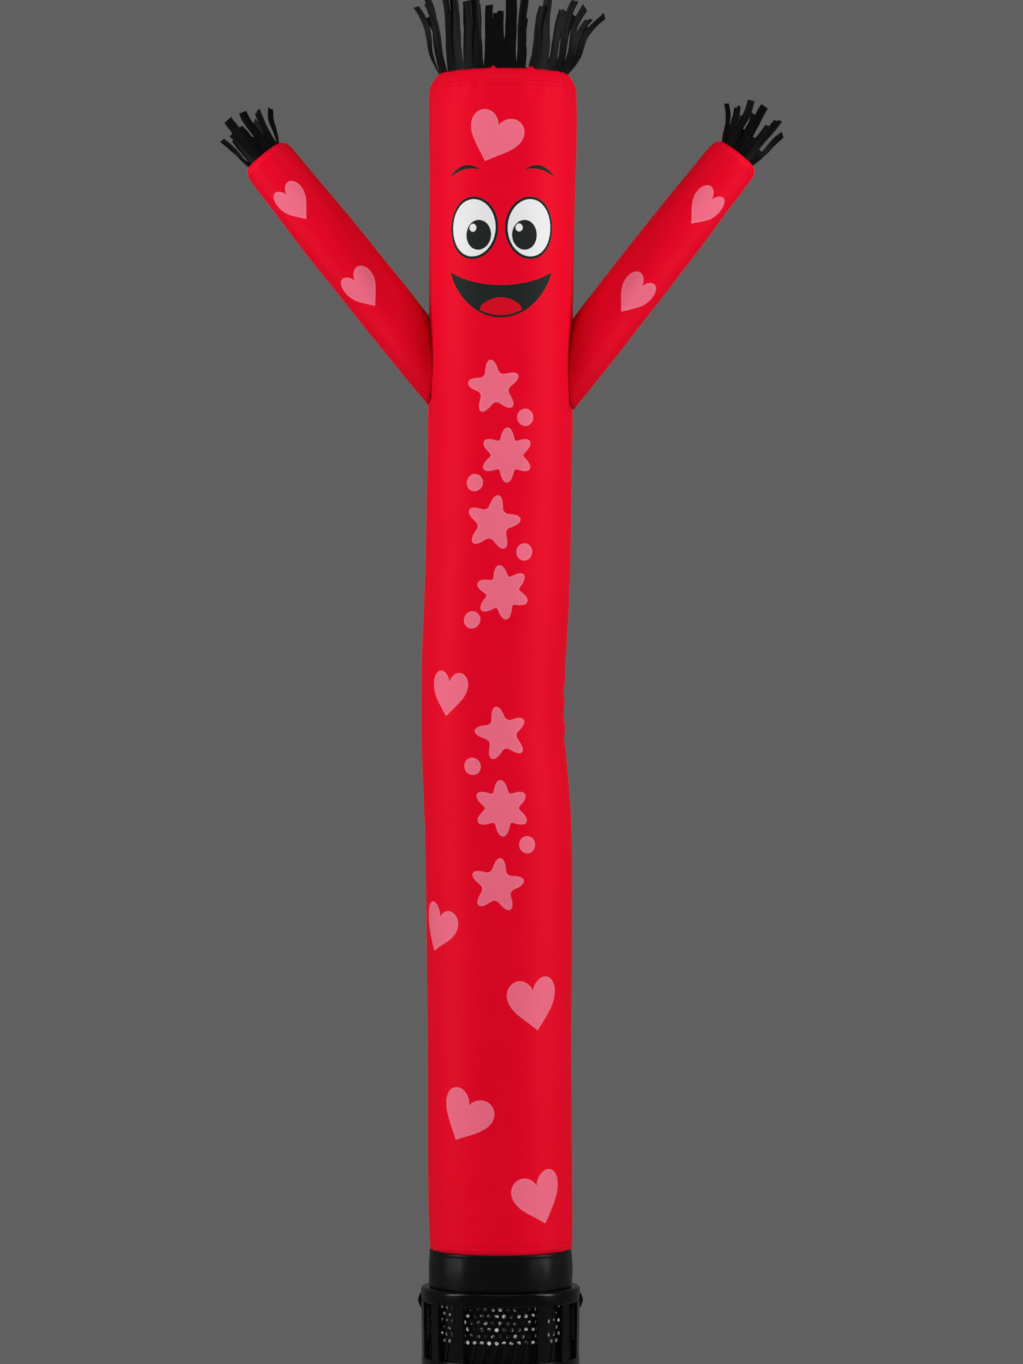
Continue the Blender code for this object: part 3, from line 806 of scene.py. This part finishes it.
def filled(outline):
    """Triangles that fill an outline, with points inside so that they follow a curved cloth."""
    lows = [min(point[i] for point in outline) for i in (0, 1)]
    highs = [max(point[i] for point in outline) for i in (0, 1)]
    columns, rows = (int((highs[i] - lows[i]) / PRINT_PITCH) + 1 for i in (0, 1))
    inner = []
    for row in range(rows):
        shift = 0.5 if row % 2 else 0.0
        for column in range(columns):
            point = (lows[0] + (column + shift) * PRINT_PITCH, lows[1] + (row + 0.5) * PRINT_PITCH)
            if depth_inside(outline, point) > 0.4 * PRINT_PITCH:
                inner.append(point)
    border = list(range(len(outline)))
    flat = [Vector(point) for point in outline + inner]
    places, _, faces, sources, *_ = delaunay_2d_cdt(flat, [], [border], 1, 1e-5)
    within = [0.0 if any(source < len(outline) for source in found) else 1.0 for found in sources]
    return places, within, faces


def printed(name, shapes, material, slot, surface, lift):
    """One piece for some filled outlines, laid on a cloth surface."""
    points, uvs, faces, inside = [], [], [], []
    for outline in shapes:
        places, within, triangles = filled(outline)
        faces += [tuple(len(points) + corner for corner in triangle) for triangle in triangles]
        points += [surface(place[0], place[1], lift) for place in places]
        uvs += [(place[0] * MM, place[1] * MM) for place in places]
        inside += within
    piece = new_piece(name, points, faces, material, slot, uvs)
    keep_value(piece, "inside", inside)
    return piece


def on_tube(across, height, lift):
    return tube_point(across / PRINT_RADIUS, height, lift)


def make_prints():
    """All prints on the tube, from the lowest layer up."""
    eyes, whites, pupils, glints, brows = [], [], [], [], []
    for side in (-1, 1):
        centre = (side * EYE_ACROSS, EYE_HEIGHT)
        eyes.append(ellipse(*centre, EYE_SIZE))
        whites.append(ellipse(*centre, [size - 2 * EYE_LINE for size in EYE_SIZE]))
        pupil = (centre[0] - side * PUPIL_SHIFT[0], centre[1] + PUPIL_SHIFT[1])
        pupils.append(ellipse(*pupil, PUPIL_SIZE, 48))
        glints.append(ellipse(pupil[0] + GLINT_SHIFT[0], pupil[1] + GLINT_SHIFT[1], GLINT_SIZE, 28))
        brows.append(brow_outline(side))
    hearts = [heart_outline(*heart) for heart in TUBE_HEARTS]
    motifs = [motif_outline(*motif) for motif in FRONT_MOTIFS]
    made = []
    for name, level, shapes, material, slot in (
        ("tube_hearts_print", 1, hearts, pink_print, "red_nylon"),
        ("front_motifs_print", 1, motifs, pink_print, "red_nylon"),
        ("face_lines_print", 1, [*eyes, *brows, mouth_outline()], black_print, "black_nylon"),
        ("face_whites_print", 2, whites, white_print, "red_nylon"),
        ("face_tongue_print", 2, [tongue_outline()], tongue_print, "red_nylon"),
        ("face_pupils_print", 3, pupils, black_print, "black_nylon"),
        ("face_glints_print", 4, glints, white_print, "red_nylon"),
    ):
        made.append(printed(name, shapes, material, slot, on_tube, PRINT_LIFT * level))
    return made


def make_arm_print(arm):
    def on_arm(across, along, lift):
        return arm_point(arm, across / ARM_PRINT_RADIUS, along, lift)

    outlines = [heart_outline(*heart) for heart in ARM_HEARTS[arm.name]]
    return printed(arm.name + "_sleeve_hearts_print", outlines, pink_print, "red_nylon", on_arm, PRINT_LIFT)


# Fringes
def in_order(rows):
    strips = [Strip((angle + 180) % 360 - 180, *rest) for angle, *rest in rows]
    return sorted(strips, key=lambda strip: strip.angle)


def hair_rows():
    """The front's strips, and their like behind, a little longer or shorter."""
    rows = list(HAIR_FRONT)
    behind = [row for row in HAIR_FRONT if abs(row[0]) < HAIR_SIDE_FROM_DEG]
    for number, (angle, width, length, out, drift, twist) in enumerate(behind):
        length += HAIR_BACK_LENGTHENS[number % len(HAIR_BACK_LENGTHENS)]
        rows.append((180 - angle, width, length, out, -drift, -twist))
    return rows


def strip_rows(strip, number, radius, base, bend):
    """Rows of points across a strip, from its root on the ring to its cut end, with its curl and waver."""
    angle = radians(strip.angle)
    outward = ring_place(1, angle, 0)
    along_ring = Vector((cos(angle), sin(angle), 0))
    lean = outward * strip.out + along_ring * strip.drift
    rise = sqrt(strip.length**2 - lean.length_squared)
    curl = 0.05 + 0.05 * sin(2.4 * number + 0.7)
    waver = 1.5 * sin(1.7 * number)
    sway = 1.1 * sin(2.3 * number + 0.4)
    cut = 4.0 * sin(2.9 * number + 1)
    notched = strip.length > STRIP_NOTCHED_FROM and sin(3.7 * number) > 0.2
    sweep = STRIP_SWEEP * strip.length
    rows = []
    for step in range(STRIP_STEPS + 1):
        share = step / STRIP_STEPS
        middle = outward * (radius - STRIP_CLOTH / 2) + Vector((0, 0, base + rise * share))
        middle += lean * (share**bend + sweep * sin(tau * share))
        middle += outward * waver * sin(pi * 1.6 * share) * share
        middle += along_ring * sway * sin(pi * (2.1 * share + 0.3 * number)) * min(1, 3 * share)
        slope = bend * max(share, 0.01) ** (bend - 1) + sweep * tau * cos(tau * share)
        direction = (lean * slope + Vector((0, 0, rise))).normalized()
        twist = radians(strip.twist) * sin(pi / 2 * share)
        across = along_ring * cos(twist) - outward * sin(twist)
        across = (across - direction * across.dot(direction)).normalized()
        through = across.cross(direction).normalized()
        if through.dot(outward) < 0:
            through = -through
        row = []
        for column in range(STRIP_ACROSS + 1):
            place = column / STRIP_ACROSS - 0.5
            frayed = noise.noise(Vector((3.1 * number + (7 if place > 0 else 0), 9 * share, 0.5)))
            wide = place * (strip.width * (1 + STRIP_ROOT_SPREAD * (1 - share) ** 4) + STRIP_FRAY * frayed)
            round_ring = -(wide**2) / (2 * radius) * (1 - share)
            curled = curl * strip.width * (4 * place * place - 0.5) * share
            crease = STRIP_CREASE * sin(tau * (1.3 * place + 0.37 * number) + 3 * share) * share
            tip = 0.0
            if step == STRIP_STEPS:
                tip = cut * place - (STRIP_NOTCH if notched and place < 0 else 0)
            point = middle + across * wide + through * (round_ring + curled + crease) + direction * tip
            row.append((point, through * STRIP_CLOTH / 2, (wide * MM, share * strip.length * MM)))
        rows.append(row)
    return rows


def under_strips(strips):
    """A shorter row behind, one strip between each two of the outer row, but none at the two sides."""
    made = []
    for number, (here, after) in enumerate(zip(strips, strips[1:] + strips[:1])):
        angle = here.angle + (after.angle - here.angle) % 360 / 2
        if abs(abs(angle) - 90) < UNDER_SIDE_DEG:
            continue
        length = UNDER_LENGTH * min(here.length, after.length) * (1 + 0.14 * sin(2.6 * number))
        lean = 0.4 * min(here.out, after.out)
        drift = (here.drift + after.drift) / 2
        made.append(Strip(angle, here.width, length, lean, drift, 6 * sin(1.3 * number)))
    return made


def make_fringe(name, node, strips, under, radius, edge, bend, placed):
    """Strips with a curled section on a narrow band inside an edge, and a row under them."""
    points, uvs, faces = [], [], []

    def add(point, uv):
        points.append(placed(point))
        uvs.append(uv)

    base = edge + BAND_ABOVE_EDGE
    count = 2 * (STRIP_ACROSS + 1)
    rooted = [(strip, radius) for strip in strips] + [(strip, radius - UNDER_INSET) for strip in under]
    for number, (strip, root_radius) in enumerate(rooted):
        first = len(points)
        for row in strip_rows(strip, number, root_radius, base - 2, bend):
            for point, half_cloth, uv in row:
                add(point + half_cloth, uv)
            for point, half_cloth, uv in reversed(row):
                add(point - half_cloth, uv)
        faces += ring_faces(STRIP_STEPS + 1, count, first)
        for cap, order in ((first, 1), (len(points) - count, -1)):
            for column in range(STRIP_ACROSS):
                quad = (column, count - 1 - column, count - 2 - column, column + 1)
                faces.append(tuple(cap + corner for corner in quad[::order]))
    first = len(points)
    low = edge - BAND_BELOW_EDGE
    inner = radius - 2 * STRIP_CLOTH
    for reach, height in ((radius, low), (radius, base), (inner, base), (inner, low)):
        for angle in turns(BAND_SIDES):
            add(ring_place(reach - STRIP_CLOTH, angle, height), (angle * reach * MM, height * MM))
    faces += ring_faces(4, BAND_SIDES, first, closed=True)
    piece = new_piece(name, points, faces, black_nylon, "black_nylon", uvs, FRINGE_SHARP_DEG)
    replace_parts(piece, node)
    return piece


def inside_solid(radius, sides):
    """The largest radius inside the solids' many-sided cloth, with a gap."""
    return (radius - SOLID_CLOTH) * cos(pi / sides) - FRINGE_GAP


def make_hair():
    radius = inside_solid(TUBE_RADII[-1], SOLID_TUBE_SIDES)

    def placed(point):
        return (point + Vector((TUBE_LEANS[-1], 0, 0))) * MM

    strips = in_order(hair_rows())
    return make_fringe("hair_strips", "hair_fringe", strips, [], radius, TUBE_TOP, HAIR_BEND, placed)


def make_hand(arm):
    start, axis, side = arm_axes(arm)
    radius = inside_solid(ARM_RADII[0], SOLID_ARM_SIDES)

    def placed(point):
        return (start + side * point.x + Vector((0, 1, 0)) * point.y + axis * point.z) * MM

    name = arm.name + "_hand_strips"
    strips = in_order(HAND_STRIPS[arm.name])
    under = under_strips(strips)
    return make_fringe(name, arm.name + "_hand_fringe", strips, under, radius, ARM_LENGTH, HAND_BEND, placed)


# Sewing
def stitched(name, lines, material, slot):
    """Rows of short stitches along lines of points, each half sunk in the cloth."""
    points, faces, uvs = [], [], []
    for line in lines:
        travelled, next_at = 0.0, STITCH_PITCH / 2
        for (start, outward), (end, _) in zip(line, line[1:]):
            span = end - start
            length = span.length / MM
            while next_at <= travelled + length and length > 0:
                share = (next_at - travelled) / length
                add_stitch(points, faces, uvs, start + span * share, span.normalized(), outward)
                next_at += STITCH_PITCH
            travelled += length
    return new_piece(name, points, faces, material, slot, uvs)


def add_stitch(points, faces, uvs, centre, direction, outward):
    outward = (outward - direction * outward.dot(direction)).normalized()
    across = direction.cross(outward)
    first = len(points)
    stops = ((-0.5, 0.35, 0.2), (-0.3, 1.0, 0.9), (0.3, 1.0, 0.9), (0.5, 0.35, 0.2))
    for place, size, lift in stops:
        for turn in turns(STITCH_SIDES):
            offset = (outward * (sin(turn) * size + lift) + across * cos(turn) * size) * STITCH_RADIUS
            points.append(centre + (direction * place * STITCH_LENGTH + offset) * MM)
            uvs.append((turn / tau * MM, place * STITCH_LENGTH * MM))
    faces += capped_rings(len(stops), STITCH_SIDES, first, flipped=True)


def cuff_place(angle, height):
    return ring_place(cuff_reach(angle, height), angle, height) * MM, height


def make_sewing():
    tube_turns = [tau * step / 180 for step in range(181)]
    arm_turns = [tau * step / 90 for step in range(91)]
    red = []
    for height in (TUBE_FOOT + 6, TUBE_FOOT + 13, TUBE_TOP - 19, TUBE_TOP - 25):
        red.append([(tube_point(angle, height), ring_place(1, angle, 0)) for angle in tube_turns])
    for shift in (-3.5, 3.5):
        angle = pi + shift / PRINT_RADIUS
        heights = range(TUBE_FOOT + 16, TUBE_TOP - 20, 8)
        red.append([(tube_point(angle, height), ring_place(1, angle, 0)) for height in heights])
    for arm in ARMS:
        for along in (ARM_LENGTH - 12, ARM_LENGTH - 18):
            red.append([(arm_point(arm, angle, along), arm_outward(arm, angle)) for angle in arm_turns])
        roots = [(angle, arm_root(arm, angle) + 6) for angle in arm_turns]
        red.append([(arm_point(arm, angle, along), arm_outward(arm, angle)) for angle, along in roots])
        for shift in (-2.5, 2.5):
            angle = pi + shift / ARM_PRINT_RADIUS
            stops = range(int(arm_root(arm, angle)) + 10, ARM_LENGTH - 20, 8)
            red.append([(arm_point(arm, angle, along), Vector((0, 1, 0))) for along in stops])
    black = []
    for height in (CUFF_TOP - 9, CUFF_FOOT + 8):
        black.append([(cuff_place(angle, height)[0], ring_place(1, angle, 0)) for angle in tube_turns])
    red_piece = stitched("red_stitches", red, red_thread, "red_nylon")
    return red_piece, stitched("cuff_stitches", black, black_thread, "black_nylon")


# Cuff
def cuff_reach(angle, height):
    share = (CUFF_TOP - height) / (CUFF_TOP - CUFF_FOOT)
    reach = CUFF_TOP_RADIUS + (CUFF_FOOT_RADIUS - CUFF_TOP_RADIUS) * share
    reach += 0.9 * exp(-(((height - CUFF_TOP + 3.2) / 1.8) ** 2))
    reach += (1.8 + 0.35 * sin(17 * angle + 2 * sin(2 * angle))) * sin(pi * share)
    return reach + 0.4 * uneven(angle, 2, height / 40)


def make_cuff():
    heights = [CUFF_FOOT + (CUFF_TOP - CUFF_FOOT) * row / (CUFF_ROWS - 1) for row in range(CUFF_ROWS)]
    sizes = (ROUND_SIDES, CUFF_TOP_RADIUS)
    piece = cloth_rings("cuff_cloth", heights, *sizes, cuff_place, cuff_nylon, "black_nylon")
    thickened(piece, CUFF_CLOTH)
    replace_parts(piece, "cuff")
    return piece


# Blower
def rounded(profile, rounding, steps=4):
    """A closed profile with its corners rounded."""
    result = []
    for index, corner in enumerate(profile):
        here = Vector(corner)
        before = Vector(profile[index - 1]) - here
        after = Vector(profile[(index + 1) % len(profile)]) - here
        size = min(rounding, before.length * 0.45, after.length * 0.45)
        start, end = here + before.normalized() * size, here + after.normalized() * size
        for step in range(steps + 1):
            share = step / steps
            result.append(start * (1 - share) ** 2 + here * 2 * share * (1 - share) + end * share**2)
    return result


def turned(name, node, profile, rounding, material=black_plastic, slot="black_plastic"):
    """A closed (radius, height) profile with rounded corners, turned about Z."""
    profile = rounded(profile, rounding)
    points = []
    for angle in turns(ROUND_SIDES):
        points += [ring_place(radius, angle, height) * MM for radius, height in profile]
    faces = ring_faces(ROUND_SIDES, len(profile), closed=True, flipped=True)
    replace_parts(new_piece(name, points, faces, material, slot, sharp_deg=MOULDING_SHARP_DEG), node)


def make_outlet():
    profile = [
        (NECK_RADIUS, NECK_TOP), (NECK_RADIUS, FLANGE_TOP), (RIM_RADIUS - RIM_ROUNDING, FLANGE_TOP),
        (RIM_RADIUS - 1.2, FLANGE_TOP - 1.6), (RIM_RADIUS, FLANGE_TOP - RIM_ROUNDING),
        (RIM_RADIUS, SKIRT_BOTTOM), (SKIRT_INSIDE, SKIRT_BOTTOM), (SKIRT_INSIDE, FLANGE_UNDERSIDE),
        (NECK_BORE, FLANGE_UNDERSIDE), (NECK_BORE, NECK_TOP),
    ]
    turned("outlet_moulding", "blower_outlet", profile, 0.9)


def add_block(shape, middle, half, lower, upper):
    """A six-sided block round an angle. Each end is a turn, a height, an outer and an inner radius."""
    vertices = []
    for lead, height, outer, inner in (lower, upper):
        for reach, turn in ((outer, -half), (outer, half), (inner, half), (inner, -half)):
            vertices.append(shape.verts.new(ring_place(reach, middle + lead + turn, height) * MM))
    for face in ((3, 2, 1, 0), (4, 5, 6, 7), (0, 1, 5, 4), (1, 2, 6, 5), (2, 3, 7, 6), (3, 0, 4, 7)):
        shape.faces.new([vertices[i] for i in face])


def make_cage():
    """The ring and its pillars, softened at the edges."""
    shape = bmesh.new()
    inner = CAGE_RADIUS - CAGE_WALL
    half = asin(PILLAR_WIDTH / 2 / CAGE_RADIUS)
    lower = (0, CAGE_RING_TOP - 4, CAGE_RADIUS, inner)
    upper = (0, SKIRT_BOTTOM - PART_GAP, PILLAR_TOP_RADIUS, inner)
    for number in range(PILLARS_EACH_SIDE):
        for side in (-1, 1):
            middle = radians(side * (PILLAR_FIRST_DEG + PILLAR_PITCH_DEG * number))
            add_block(shape, middle, half, lower, upper)
    bevelled_piece("cage_pillars", shape, black_plastic, 1.1, 2)
    foot = BASE_TOP + PART_GAP
    profile = [(CAGE_RADIUS, CAGE_RING_TOP), (CAGE_RADIUS, foot), (inner, foot), (inner, CAGE_RING_TOP)]
    turned("cage_ring", "blower_cage", profile, 1.2)


def make_lug(name, middle_deg):
    """A small wedge that hugs the rim, narrower outside."""
    shape = bmesh.new()
    inside, outside = LUG_OUTLINE[0][0], max(radius for radius, _ in LUG_OUTLINE)
    sides = []
    for sign in (-1, 1):
        line = []
        for radius, height in LUG_OUTLINE:
            share = (radius - inside) / (outside - inside)
            half = LUG_HALF_DEG[0] + (LUG_HALF_DEG[1] - LUG_HALF_DEG[0]) * share
            line.append(shape.verts.new(ring_place(radius, radians(middle_deg + sign * half), height) * MM))
        sides.append(line)
    for corner in range(len(LUG_OUTLINE)):
        after = (corner + 1) % len(LUG_OUTLINE)
        shape.faces.new((sides[0][corner], sides[0][after], sides[1][after], sides[1][corner]))
    shape.faces.new(sides[0])
    shape.faces.new(reversed(sides[1]))
    bmesh.ops.recalc_face_normals(shape, faces=shape.faces)
    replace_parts(bevelled_piece(name + "_catch", shape, black_plastic, 0.7, 2), name)


def make_drum():
    """The guard: staggered round holes through its wall, and slanted ribs below them."""
    points, faces, index = [], [], {}
    walls = (DRUM_RADIUS, DRUM_RADIUS - DRUM_WALL)

    def point(reach, turn, height):
        key = (round(reach, 3), round(turn % HOLES_ROUND, 4), round(height, 3))
        if key not in index:
            index[key] = len(points)
            points.append(ring_place(reach, tau * turn / HOLES_ROUND, height) * MM)
        return index[key]

    cell = tau * DRUM_RADIUS / HOLES_ROUND
    corners = [(x, -0.5) for x in (-0.5, -0.25, 0, 0.25)] + [(0.5, y) for y in (-0.5, -0.25, 0, 0.25)]
    corners += [(-x, -y) for x, y in corners]
    for row in range(HOLE_ROWS):
        middle = HOLE_TOP_ROW - HOLE_ROW_PITCH * row
        for hole in range(HOLES_ROUND):
            turn = hole + (0.5 if row % 2 else 0.0)
            rims = []
            for reach in walls:
                square, circle = [], []
                for x, y in corners:
                    square.append(point(reach, turn + x, middle + y * HOLE_ROW_PITCH))
                    share = HOLE_RADIUS / hypot(x * cell, y * HOLE_ROW_PITCH)
                    circle.append(point(reach, turn + x * share, middle + y * HOLE_ROW_PITCH * share))
                rims.append((square, circle))
            # From the outer wall through the hole to the inner wall
            lines = (*rims[0], *reversed(rims[1]))
            for first, second in zip(lines, lines[1:]):
                for corner in range(len(corners)):
                    after = (corner + 1) % len(corners)
                    faces.append((first[corner], first[after], second[after], second[corner]))
    holes_top = HOLE_TOP_ROW + HOLE_ROW_PITCH / 2
    holes_bottom = HOLE_TOP_ROW - HOLE_ROW_PITCH * (HOLE_ROWS - 0.5)
    for low, high, rim in ((holes_top, DRUM_TOP, (3, 2)), (BASE_TOP + PART_GAP, holes_bottom, (1, 0))):
        for step in range(4 * HOLES_ROUND):
            here, after = step / 4, (step + 1) / 4
            places = ((here, low), (after, low), (after, high), (here, high))
            outer, back = ([point(reach, *place) for place in places] for reach in walls)
            faces.append(tuple(outer))
            faces.append(tuple(reversed(back)))
            faces.append((outer[rim[0]], outer[rim[1]], back[rim[1]], back[rim[0]]))
    drum_looks = (drum_plastic, "black_plastic")
    piece = new_piece("guard_drum_perforated", points, faces, *drum_looks, sharp_deg=MOULDING_SHARP_DEG)
    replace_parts(piece, "guard_drum")
    # Its thin wall, and its casting no shadow, let the studio light reach the pale core, which shows as
    # bright dots
    piece.visible_shadow = False
    shape = bmesh.new()
    lower = (0.0, BASE_TOP + 3, *RIB_RADII)
    upper = (radians(RIB_SLANT_DEG), RIB_TOP, *RIB_RADII)
    for number in range(RIB_COUNT):
        add_block(shape, tau * number / RIB_COUNT, radians(RIB_HALF_DEG), lower, upper)
    bevelled_piece("guard_ribs", shape, drum_plastic, 0.5, 1)


def make_core():
    """The pale fan body, with a thin rim round its top."""
    foot = BASE_FLOOR + PART_GAP
    lip = CORE_RADIUS - 2.5
    profile = [
        (AXIS_HOLE, foot), (CORE_RADIUS, foot), (CORE_RADIUS, CORE_RIM_TOP), (lip, CORE_RIM_TOP),
        (lip, CORE_TOP - 9), (CORE_RADIUS - 16, CORE_TOP), (AXIS_HOLE, CORE_TOP),
    ]
    turned("core_moulding", "fan_core", profile, 0.8, pale_plastic, "pale_plastic")


def make_base():
    inside = BASE_RADIUS - BASE_WALL
    groove = BASE_RADIUS - 0.8
    profile = [
        (AXIS_HOLE, BASE_FLOOR), (inside, BASE_FLOOR), (inside, BASE_TOP - 10), (LIP_INSIDE, BASE_TOP - 6),
        (LIP_INSIDE, BASE_TOP), (BASE_RADIUS, BASE_TOP), (BASE_RADIUS, 84), (groove, 83), (groove, 81),
        (BASE_RADIUS, 80), (BASE_RADIUS, 22), (FOOT_RADIUS, FOOT_TOP), (FOOT_RADIUS, 0), (AXIS_HOLE, 0),
    ]
    turned("base_moulding", "blower_base", profile, 1.6)


def dress_gland():
    """The gland keeps its solid's shape, with softened edges."""
    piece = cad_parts["cable_gland"]
    piece.data.materials.clear()
    piece.data.materials.append(black_plastic)
    edge = piece.modifiers.new("edge", "BEVEL")
    edge.width = 0.6 * MM
    edge.segments = 2
    edge.limit_method = "ANGLE"
    edge.angle_limit = radians(40)


# Stage
FLOOR_RADIUS = 0.70
FLOOR_EDGE = 0.004
FLOOR_DEPTH = 0.02
FLOOR_SIDES = 128
WORLD_GREY = (0.121, 0.117, 0.119)
# Each light's place, what it faces, its width and height in metres, and its power in watts
LIGHTS = {
    "left_softbox": ((-2.32, -0.62, 1.7), (0, 0, 1.55), (0.55, 3.0), 39),
    "right_softbox": ((2.32, -0.62, 1.7), (0, 0, 1.55), (0.55, 3.0), 41),
    "front_fill": ((0, -7.2, 2.0), (0, 0, 1.3), (2.5, 2.5), 204),
    "top_softbox": ((0, -1.6, 4.2), (0, 0, 1.7), (3.0, 1.4), 24),
}


def make_camera():
    data = bpy.data.cameras.new("camera")
    data.sensor_width = SENSOR
    data.lens = SENSOR * FOCAL_PX / PHOTO_HEIGHT_PX
    data.clip_end = 100
    camera = linked("camera", data)
    camera.location = CAMERA_PLACE
    camera.rotation_euler = (radians(90), 0, 0)
    bpy.context.scene.camera = camera


def make_floor():
    """A pale round floor, just large enough for the blower to stand on."""
    inner = FLOOR_RADIUS - FLOOR_EDGE
    low = FLOOR_EDGE - FLOOR_DEPTH
    profile = [(inner, -FLOOR_DEPTH), (FLOOR_RADIUS, low), (FLOOR_RADIUS, -FLOOR_EDGE), (inner, 0.0)]
    points = [ring_place(radius, turn, height) for radius, height in profile for turn in turns(FLOOR_SIDES)]
    mesh = bpy.data.meshes.new("floor")
    mesh.from_pydata(points, [], capped_rings(len(profile), FLOOR_SIDES))
    looks = Looks("pale_floor")
    pale = looks.mixed(looks.noise(6.0), (0.70, 0.70, 0.69), (0.76, 0.76, 0.75))
    looks.put(looks.surface["Base Color"], pale)
    looks.surface["Roughness"].default_value = 0.8
    mesh.materials.append(looks.material)
    linked("floor", mesh)


def make_lights():
    for name, (place, target, size, power) in LIGHTS.items():
        data = bpy.data.lights.new(name, "AREA")
        data.shape = "RECTANGLE"
        data.size, data.size_y = size
        data.energy = power
        light = linked(name, data)
        light.location = place
        light.rotation_euler = (Vector(target) - Vector(place)).to_track_quat("-Z", "Y").to_euler()
        light.visible_glossy = name != "front_fill"
    world = bpy.data.worlds.new("studio")
    world.use_nodes = True
    world.node_tree.nodes["Background"].inputs["Color"].default_value = (*WORLD_GREY, 1)
    bpy.context.scene.world = world
    bpy.context.scene.view_settings.view_transform = "Standard"


make_camera()
tube = make_tube()
sleeves = [make_arm(arm) for arm in ARMS]
prints = make_prints()
sleeve_prints = [make_arm_print(arm) for arm in ARMS]
hair = make_hair()
hands = [make_hand(arm) for arm in ARMS]
cuff = make_cuff()
red_stitches, cuff_stitches = make_sewing()
make_outlet()
make_cage()
make_drum()
make_base()
make_core()
make_lug("rim_lug_left", -90)
make_lug("rim_lug_right", 90)
dress_gland()
make_floor()
make_lights()
